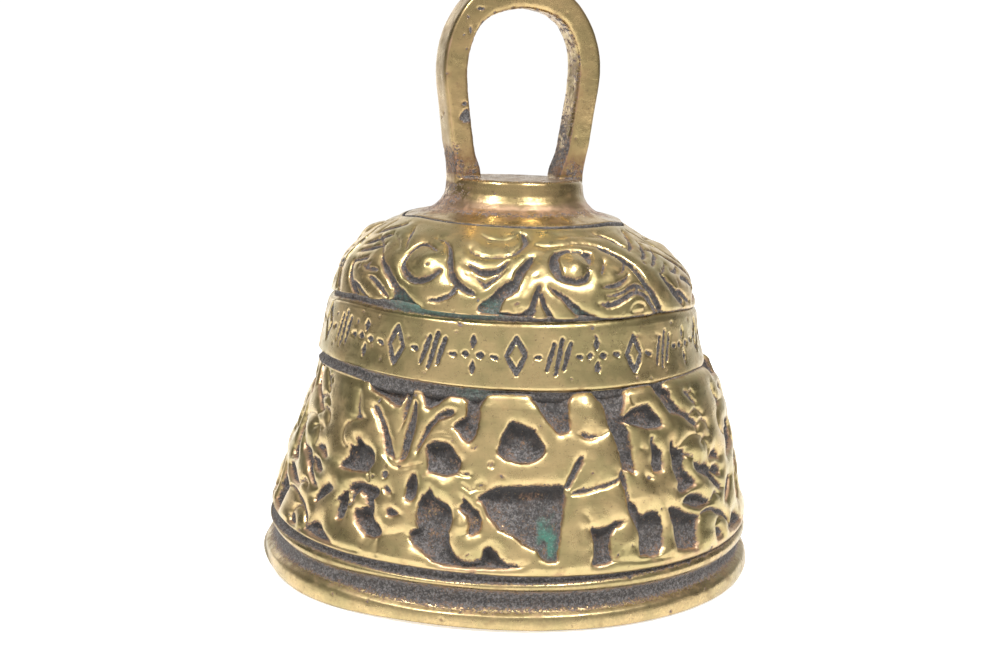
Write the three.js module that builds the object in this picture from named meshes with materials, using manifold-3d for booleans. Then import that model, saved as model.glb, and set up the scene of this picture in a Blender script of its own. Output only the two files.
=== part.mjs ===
// Cast hand bell with a loop handle and a hung clapper.
// Millimetres, +Z up, origin at the centre of the mouth on the plane of the lip.
// The flat loop handle lies in the XZ plane; the clapper's main swing is in that plane too.
import * as THREE from "three";
import { mergeVertices } from "three/addons/utils/BufferGeometryUtils.js";
import Module from "manifold-3d";

const wasm = await Module();
wasm.setup();

// ---------------------------------------------------------------- driving dimensions
const LIP_R = 38.0; // outside radius of the mouth
const SEAT_Z = 52.6; // flat seat on the crown that the handle's foot stands on
const SEAT_R = 16.9; // radius of the shallow seat recess
const CROWN_UNDER_Z = 49.6; // underside of the crown
const CROWN_HOLE_R = 2.3; // clearance hole for the eyebolt
const FOOT_R = 16.6; // handle foot flange
const COLLAR_R = 10.4; // collar under the loop
const COLLAR_TOP_Z = 59.2;
const STUD_R = 1.95; // M4 eyebolt shank
const TAPPED_R = 2.02; // tapped blind hole in the handle
const TAPPED_TOP_Z = 57.5;
const STUD_TOP_Z = 57.1;
const LOOP_DEPTH = 5.4; // front-to-back thickness of the loop
const LOOP_BEVEL = 0.55;
const GAP = 0.05; // between faces that are clamped together

const WASHER_R = 5.0, WASHER_T = 0.8;
const NUT_AF = 7.0, NUT_H = 2.8;
const EYE_R = 3.0, EYE_WIRE_R = 1.1, EYE_Z = 41.9; // ring of the eyebolt, in the YZ plane
const LINK_WIRE_R = 0.9, LINK_END_R = 2.7; // link in the XZ plane
const LINK_TOP_Z = 41.0, LINK_BOTTOM_Z = 32.2; // wire centres at its two ends
const CLAPPER_EYE_R = 3.0, CLAPPER_EYE_WIRE_R = 1.2, CLAPPER_EYE_Z = 31.4; // eye in the YZ plane
const ROD_R = 1.5;
const BALL_R = 7.0, BALL_Z = 10.8, BALL_BORE_R = 1.56;
const BALL_TOP_FLAT_Z = 17.3, BALL_BOTTOM_FLAT_Z = 4.5;

// ---------------------------------------------------------------- helpers
function solid(geometry) {
  const g = geometry.index ? geometry.toNonIndexed() : geometry.clone();
  const bare = new THREE.BufferGeometry().setAttribute("position", g.getAttribute("position"));
  const merged = mergeVertices(bare, 1e-4);
  const src = merged.index.array, tri = [];
  for (let i = 0; i < src.length; i += 3) {
    const [a, b, c] = [src[i], src[i + 1], src[i + 2]];
    if (a !== b && b !== c && a !== c) tri.push(a, b, c);
  }
  let made = new wasm.Manifold(new wasm.Mesh({
    numProp: 3,
    vertProperties: new Float32Array(merged.attributes.position.array),
    triVerts: new Uint32Array(tri),
  }));
  if (made.volume() < 0) {
    for (let i = 0; i < tri.length; i += 3) [tri[i + 1], tri[i + 2]] = [tri[i + 2], tri[i + 1]];
    made = new wasm.Manifold(new wasm.Mesh({
      numProp: 3,
      vertProperties: new Float32Array(merged.attributes.position.array),
      triVerts: new Uint32Array(tri),
    }));
  }
  return made;
}
function geometryOf(manifold) {
  const m = manifold.getMesh(), n = m.numProp;
  const v = new Float32Array(m.numVert * 3);
  for (let i = 0; i < m.numVert; i++) v.set(m.vertProperties.subarray(i * n, i * n + 3), i * 3);
  const g = new THREE.BufferGeometry()
    .setAttribute("position", new THREE.BufferAttribute(v, 3))
    .setIndex(new THREE.BufferAttribute(new Uint32Array(m.triVerts), 1));
  g.computeVertexNormals();
  return g;
}
// Turned shape about Z from [radius, z] pairs.
function turned(profile, segments) {
  return new THREE.LatheGeometry(profile.map(([r, z]) => new THREE.Vector2(r, z)), segments).rotateX(Math.PI / 2);
}
function ringYZ(radius, wire, z, around = 12, along = 28) {
  return new THREE.TorusGeometry(radius, wire, around, along).rotateY(Math.PI / 2).translate(0, 0, z);
}
function smooth(points, n) {
  return new THREE.SplineCurve(points.map(([x, y]) => new THREE.Vector2(x, y))).getPoints(n);
}

// ---------------------------------------------------------------- bell body
// Outside, from the lip up: lip band, wide cove, thin rib, groove, figured waist,
// plain band between two grooves, figured shoulder, seat on the crown.
const OUTSIDE = [
  [37.5, 0.0], [37.95, 0.35], [38.0, 1.3], [37.85, 2.4], [37.45, 2.9],
  [36.75, 3.5], [36.5, 4.4], [36.6, 5.3], [36.95, 5.9],
  [37.1, 6.4], [36.9, 6.9], [36.2, 7.2], [36.2, 7.6], [36.65, 8.0],
  [36.5, 9.0], [35.8, 11.0], [34.75, 15.5], [33.45, 20.0], [31.95, 25.0],
  [30.6, 29.2], [30.0, 31.5], [29.1, 31.9], [29.1, 32.4],
  [29.55, 32.8], [28.85, 36.0], [28.15, 40.6], [27.85, 41.2],
  [27.2, 41.6], [27.2, 42.1], [27.75, 42.5],
  [27.35, 44.4], [26.5, 46.4], [25.1, 48.1], [23.1, 49.6], [20.6, 51.1], [18.6, 52.2], [17.1, 53.1],
];
const INSIDE = [
  [14.0, 49.6], [17.4, 49.4], [20.4, 48.2], [22.7, 46.0], [24.0, 43.0],
  [24.8, 39.0], [25.6, 34.5], [26.7, 30.0], [28.4, 25.0], [29.9, 20.0],
  [31.2, 15.0], [32.3, 10.0], [33.0, 6.0], [33.5, 2.0], [33.9, 0.4], [34.3, 0.0],
];
const bellBody = solid(turned([
  ...OUTSIDE, [SEAT_R, 53.1], [SEAT_R, SEAT_Z], [CROWN_HOLE_R, SEAT_Z], [CROWN_HOLE_R, CROWN_UNDER_Z],
  ...INSIDE, OUTSIDE[0],
], 48));

// ---------------------------------------------------------------- handle: foot, coved neck, collar and loop in one casting
const footAndCollar = solid(turned([
  [0, TAPPED_TOP_Z], [TAPPED_R, TAPPED_TOP_Z], [TAPPED_R, SEAT_Z + GAP], [FOOT_R, SEAT_Z + GAP],
  [FOOT_R, 53.35], [16.3, 53.65], [14.7, 54.15], [13.1, 54.8], [11.75, 55.6], [10.8, 56.5], [COLLAR_R, 57.5],
  [COLLAR_R, 58.8], [10.1, COLLAR_TOP_Z], [0, COLLAR_TOP_Z],
], 48));
const LOOP_OUTER = [
  [10.0, 58.3], [10.05, 59.9], [10.35, 62.7], [10.95, 65.9], [11.6, 70.0], [12.1, 73.4], [12.1, 76.2],
  [11.55, 79.1], [10.4, 82.0], [8.35, 84.9], [5.6, 87.1], [2.8, 88.2],
];
const LOOP_INNER = [
  [5.95, 58.3], [6.15, 60.0], [6.9, 62.7], [7.4, 65.7], [8.0, 69.5], [8.45, 73.2], [8.45, 75.8],
  [8.0, 78.2], [6.8, 80.9], [5.0, 82.5], [2.6, 83.4],
];
const loopOutline = new THREE.Shape([
  ...smooth([...LOOP_OUTER, [0, 88.5], ...LOOP_OUTER.map(([x, z]) => [-x, z]).reverse()], 40),
  ...smooth([...LOOP_INNER, [0, 83.7], ...LOOP_INNER.map(([x, z]) => [-x, z]).reverse()], 36).reverse(),
]);
// The bevel grows the outline, so it is drawn back by the same amount.
const loop = solid(new THREE.ExtrudeGeometry(loopOutline, {
  depth: LOOP_DEPTH - 2 * LOOP_BEVEL, bevelEnabled: true, bevelThickness: LOOP_BEVEL, bevelSize: LOOP_BEVEL,
  bevelOffset: -LOOP_BEVEL, bevelSegments: 2, curveSegments: 1,
}).rotateX(Math.PI / 2).translate(0, LOOP_DEPTH / 2 - LOOP_BEVEL, 0));
const handle = footAndCollar.add(loop);

// ---------------------------------------------------------------- eyebolt, washer and nut under the crown
const stud = solid(turned([
  [0, 45.2], [STUD_R, 45.2], [STUD_R, STUD_TOP_Z - 0.4], [STUD_R - 0.4, STUD_TOP_Z], [0, STUD_TOP_Z],
], 20));
const eyebolt = stud.add(solid(ringYZ(EYE_R, EYE_WIRE_R, EYE_Z)));
const WASHER_TOP = CROWN_UNDER_Z - GAP;
const washer = solid(turned([
  [2.2, WASHER_TOP - WASHER_T], [WASHER_R, WASHER_TOP - WASHER_T], [WASHER_R, WASHER_TOP], [2.2, WASHER_TOP],
  [2.2, WASHER_TOP - WASHER_T],
], 28));
const NUT_TOP = WASHER_TOP - WASHER_T - GAP;
const nutBlank = solid(new THREE.CylinderGeometry(NUT_AF / Math.sqrt(3), NUT_AF / Math.sqrt(3), NUT_H, 6)
  .rotateX(Math.PI / 2).translate(0, 0, NUT_TOP - NUT_H / 2));
const chamfer = solid(turned([
  [0, NUT_TOP + 0.1], [3.6, NUT_TOP + 0.1], [4.15, NUT_TOP - 0.45], [4.15, NUT_TOP - NUT_H + 0.45],
  [3.6, NUT_TOP - NUT_H - 0.1], [0, NUT_TOP - NUT_H - 0.1],
], 24));
const nutHole = solid(turned([
  [0, NUT_TOP - NUT_H - 1], [2.03, NUT_TOP - NUT_H - 1], [2.03, NUT_TOP + 1], [0, NUT_TOP + 1],
], 20));
const nut = nutBlank.intersect(chamfer).subtract(nutHole);

// ---------------------------------------------------------------- link between the eyebolt and the clapper
const linkPath = [];
{
  const top = LINK_TOP_Z - LINK_END_R, bottom = LINK_BOTTOM_Z + LINK_END_R, w = LINK_END_R, n = 12;
  for (let i = 0; i <= n; i++) linkPath.push(new THREE.Vector3(w * Math.cos((Math.PI * i) / n), 0, top + w * Math.sin((Math.PI * i) / n)));
  for (let i = 0; i <= n; i++) linkPath.push(new THREE.Vector3(-w * Math.cos((Math.PI * i) / n), 0, bottom - w * Math.sin((Math.PI * i) / n)));
}
// A closed wire link: one round section carried round the path, each station joined to the next.
function closedWire(points, radius, sides) {
  const n = points.length, position = [], index = [];
  for (let i = 0; i < n; i++) {
    const before = points[(i + n - 1) % n], after = points[(i + 1) % n];
    const t = after.clone().sub(before).normalize(), side = new THREE.Vector3(0, 1, 0);
    const out = side.clone().cross(t).normalize();
    for (let k = 0; k < sides; k++) {
      const a = (2 * Math.PI * k) / sides;
      position.push(...points[i].clone().addScaledVector(out, radius * Math.cos(a)).addScaledVector(side, radius * Math.sin(a)).toArray());
    }
  }
  for (let i = 0; i < n; i++) for (let k = 0; k < sides; k++) {
    const a = i * sides + k, b = i * sides + ((k + 1) % sides), c = ((i + 1) % n) * sides + k, d = ((i + 1) % n) * sides + ((k + 1) % sides);
    index.push(a, c, b, b, c, d);
  }
  const g = new THREE.BufferGeometry().setAttribute("position", new THREE.Float32BufferAttribute(position, 3));
  g.setIndex(index);
  return g;
}
const link = solid(closedWire(linkPath, LINK_WIRE_R, 12));

// ---------------------------------------------------------------- clapper: eyed rod, ball and burr
const HEAD_TOP = BALL_BOTTOM_FLAT_Z - 2 * GAP - 0.7;
const rodShaft = solid(turned([
  [0, HEAD_TOP - 1.2], [1.3, HEAD_TOP - 1.05], [2.1, HEAD_TOP - 0.5], [2.2, HEAD_TOP], [ROD_R, HEAD_TOP],
  [ROD_R, BALL_TOP_FLAT_Z + GAP], [2.4, BALL_TOP_FLAT_Z + GAP], [2.4, BALL_TOP_FLAT_Z + 0.9], [ROD_R, BALL_TOP_FLAT_Z + 1.7],
  [ROD_R, CLAPPER_EYE_Z - CLAPPER_EYE_R - 0.2], [0, CLAPPER_EYE_Z - CLAPPER_EYE_R - 0.2],
], 20));
const rod = rodShaft.add(solid(ringYZ(CLAPPER_EYE_R, CLAPPER_EYE_WIRE_R, CLAPPER_EYE_Z)));
const ballProfile = [];
{
  const a0 = Math.asin((BALL_BOTTOM_FLAT_Z - BALL_Z) / BALL_R), a1 = Math.asin((BALL_TOP_FLAT_Z - BALL_Z) / BALL_R), n = 12;
  ballProfile.push([BALL_BORE_R, BALL_BOTTOM_FLAT_Z]);
  for (let i = 0; i <= n; i++) {
    const a = a0 + ((a1 - a0) * i) / n;
    ballProfile.push([BALL_R * Math.cos(a), BALL_Z + BALL_R * Math.sin(a)]);
  }
  ballProfile.push([BALL_BORE_R, BALL_TOP_FLAT_Z], [BALL_BORE_R, BALL_BOTTOM_FLAT_Z]);
}
const ball = solid(turned(ballProfile, 28));
const burr = solid(turned([
  [1.6, HEAD_TOP + GAP], [2.9, HEAD_TOP + GAP], [2.9, HEAD_TOP + GAP + 0.7], [1.6, HEAD_TOP + GAP + 0.7], [1.6, HEAD_TOP + GAP],
], 24));

// ---------------------------------------------------------------- scene graph
const brass = new THREE.MeshStandardMaterial({ color: 0xa58a4a, roughness: 0.32, metalness: 1 });
const castBrass = new THREE.MeshStandardMaterial({ color: 0x9c8247, roughness: 0.36, metalness: 1 });
const steel = new THREE.MeshStandardMaterial({ color: 0x7d7b77, roughness: 0.4, metalness: 1 });
const iron = new THREE.MeshStandardMaterial({ color: 0x4a4641, roughness: 0.6, metalness: 1 });

function mesh(name, made, material) {
  const m = new THREE.Mesh(geometryOf(made), material);
  m.name = name;
  return m;
}

const bell = new THREE.Group();
bell.name = "bell";
const castings = new THREE.Group();
castings.add(mesh("bell_body", bellBody, castBrass), mesh("handle", handle, brass));
const suspension = new THREE.Group();
suspension.add(mesh("eyebolt", eyebolt, steel), mesh("crown_washer", washer, steel), mesh("crown_nut", nut, steel));
const clapper = new THREE.Group();
clapper.add(mesh("clapper_rod", rod, iron), mesh("clapper_ball", ball, brass), mesh("clapper_burr", burr, steel));
bell.add(castings, suspension, mesh("clapper_link", link, steel), clapper);

export default bell;
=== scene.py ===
# Look of a cast brass hand bell: figured outer wall, loop handle, and the clapper hung inside.
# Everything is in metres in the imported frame; the shape data below is in millimetres and degrees.
import math
import bpy, bmesh
import numpy as np
from mathutils import Vector, Matrix, noise as mnoise


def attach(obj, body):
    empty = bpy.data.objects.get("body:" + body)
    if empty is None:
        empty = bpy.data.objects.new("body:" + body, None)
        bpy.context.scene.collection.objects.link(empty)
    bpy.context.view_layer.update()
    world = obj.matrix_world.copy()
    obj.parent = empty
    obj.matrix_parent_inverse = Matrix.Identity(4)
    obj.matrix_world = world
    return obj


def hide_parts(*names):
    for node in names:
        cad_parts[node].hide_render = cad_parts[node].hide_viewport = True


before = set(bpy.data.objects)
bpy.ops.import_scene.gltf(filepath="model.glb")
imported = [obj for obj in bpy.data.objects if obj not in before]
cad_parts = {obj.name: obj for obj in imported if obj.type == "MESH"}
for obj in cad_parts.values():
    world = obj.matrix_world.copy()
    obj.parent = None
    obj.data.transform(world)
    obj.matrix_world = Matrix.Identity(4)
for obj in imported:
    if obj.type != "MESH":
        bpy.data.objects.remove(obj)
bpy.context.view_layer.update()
MM = 0.001
FRONT = -20.3          # azimuth of the middle of the figured front, degrees from -Y
rng = np.random.RandomState(4711)


# ------------------------------------------------------------------ small tools
def catmull(points, step, closed=False):
    """Points along a centripetal Catmull-Rom curve, about one per step."""
    p = np.asarray(points, float)
    if closed:
        p = np.vstack([p[-1], p, p[0], p[1]])
    else:
        p = np.vstack([2 * p[0] - p[1], p, 2 * p[-1] - p[-2]])
    out = []
    for i in range(1, len(p) - 2):
        p0, p1, p2, p3 = p[i - 1], p[i], p[i + 1], p[i + 2]
        t0 = 0.0
        t1 = t0 + max(np.linalg.norm(p1 - p0), 1e-9) ** 0.5
        t2 = t1 + max(np.linalg.norm(p2 - p1), 1e-9) ** 0.5
        t3 = t2 + max(np.linalg.norm(p3 - p2), 1e-9) ** 0.5
        n = max(1, int(round(np.linalg.norm(p2 - p1) / step)))
        for k in range(n):
            t = t1 + (t2 - t1) * k / n
            a1 = (t1 - t) / (t1 - t0) * p0 + (t - t0) / (t1 - t0) * p1
            a2 = (t2 - t) / (t2 - t1) * p1 + (t - t1) / (t2 - t1) * p2
            a3 = (t3 - t) / (t3 - t2) * p2 + (t - t2) / (t3 - t2) * p3
            b1 = (t2 - t) / (t2 - t0) * a1 + (t - t0) / (t2 - t0) * a2
            b2 = (t3 - t) / (t3 - t1) * a2 + (t - t1) / (t3 - t1) * a3
            out.append((t2 - t) / (t2 - t1) * b1 + (t - t1) / (t2 - t1) * b2)
    if not closed:
        out.append(p[-2])
    return np.array(out)


def resample(points, n):
    p = np.asarray(points, float)
    s = np.concatenate([[0], np.cumsum(np.linalg.norm(np.diff(p, axis=0), axis=1))])
    t = np.linspace(0, s[-1], n)
    return np.stack([np.interp(t, s, p[:, k]) for k in range(p.shape[1])], 1)


def smoothstep(a, b, x):
    t = np.clip((x - a) / (b - a), 0, 1)
    return t * t * (3 - 2 * t)


def ring_noise(phi, v, cells, vsize, seed, octaves=1):
    """Value noise, -1..1, that closes on itself round the bell. phi in degrees, v in mm."""
    total, norm, amp = 0.0, 0.0, 1.0
    for o in range(octaves):
        n = cells * 2 ** o
        size = vsize / 2 ** o
        rows = int(80 / size) + 4
        lat = np.random.RandomState(seed + o).uniform(-1, 1, (n, rows))
        a = (phi % 360.0) / 360.0 * n
        b = np.clip(v / size + 1, 0, rows - 2.001)
        i, j = np.floor(a).astype(int), np.floor(b).astype(int)
        fa, fb = a - i, b - j
        fa, fb = fa * fa * (3 - 2 * fa), fb * fb * (3 - 2 * fb)
        i0, i1 = i % n, (i + 1) % n
        val = (lat[i0, j] * (1 - fa) + lat[i1, j] * fa) * (1 - fb) + (lat[i0, j + 1] * (1 - fa) + lat[i1, j + 1] * fa) * fb
        total = total + amp * val
        norm += amp
        amp *= 0.5
    return total / norm


def blur(field, sx, sy):
    """Gaussian blur; x (axis 0) wraps round."""
    def kernel(s):
        n = max(1, int(3 * s))
        k = np.exp(-0.5 * (np.arange(-n, n + 1) / max(s, 1e-6)) ** 2)
        return k / k.sum(), n
    out = field
    if sx > 0.2:
        k, n = kernel(sx)
        out = sum(w * np.roll(out, d, axis=0) for w, d in zip(k, range(-n, n + 1)))
    if sy > 0.2:
        k, n = kernel(sy)
        pad = np.pad(out, ((0, 0), (n, n)), mode="edge")
        out = sum(w * pad[:, i:i + field.shape[1]] for i, w in enumerate(k))
    return out


# ------------------------------------------------------------------ outside profile of the bell, [radius, z]
OUTSIDE = [
    [37.45, 0.0], [37.85, 0.25], [38.0, 0.8], [37.95, 1.5], [37.8, 2.1], [37.6, 2.45], [37.25, 2.72],
    [36.75, 3.05], [36.4, 3.55], [36.2, 4.25], [36.25, 4.95], [36.5, 5.4], [36.8, 5.65],
    [37.05, 5.95], [37.12, 6.3], [36.95, 6.65], [36.45, 6.95], [36.1, 7.2], [36.05, 7.5], [36.25, 7.8], [36.65, 8.05],
    [36.7, 8.5], [36.55, 9.3], [35.95, 11.0], [34.95, 15.2], [33.65, 20.0], [32.15, 25.0],
    [30.85, 29.0], [30.3, 30.8], [30.05, 31.5], [29.65, 31.8], [29.15, 32.0], [29.1, 32.2], [29.35, 32.42],
    [29.62, 32.62], [29.6, 33.1], [28.95, 36.0], [28.25, 40.4], [28.12, 41.0], [27.85, 41.4],
    [27.35, 41.65], [27.2, 41.85], [27.4, 42.05], [27.85, 42.3],
    [27.65, 44.3], [26.85, 46.3], [25.45, 48.1], [23.35, 49.8], [20.85, 51.4], [18.95, 52.4], [17.6, 53.0], [17.0, 53.2], [16.85, 53.22],
]
INSIDE = [
    [14.0, 49.6], [17.4, 49.4], [20.4, 48.2], [22.7, 46.0], [24.0, 43.0],
    [24.8, 39.0], [25.6, 34.5], [26.7, 30.0], [28.4, 25.0], [29.9, 20.0],
    [31.2, 15.0], [32.3, 10.0], [33.0, 6.0], [33.5, 2.0], [33.75, 0.5], [34.1, 0.12], [34.5, 0.0],
]
SEAT_R, SEAT_Z, CROWN_HOLE_R, CROWN_UNDER_Z = 16.8, 51.0, 2.3, 49.6

NP = 1080                     # stations round the bell
row_step = 0.175
prof = catmull(OUTSIDE, 0.05)
ps = np.concatenate([[0], np.cumsum(np.linalg.norm(np.diff(prof, axis=0), axis=1))])
NR = int(ps[-1] / row_step)
S = np.linspace(0, ps[-1], NR)
PR, PZ = np.interp(S, ps, prof[:, 0]), np.interp(S, ps, prof[:, 1])
dR, dZ = np.gradient(PR, S), np.gradient(PZ, S)
dl = np.hypot(dR, dZ)
NRM_R, NRM_Z = dZ / dl, -dR / dl                # outward normal in the meridian plane
s_of_z = lambda z: np.interp(z, PZ, S)          # z rises all the way up the outside

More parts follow.
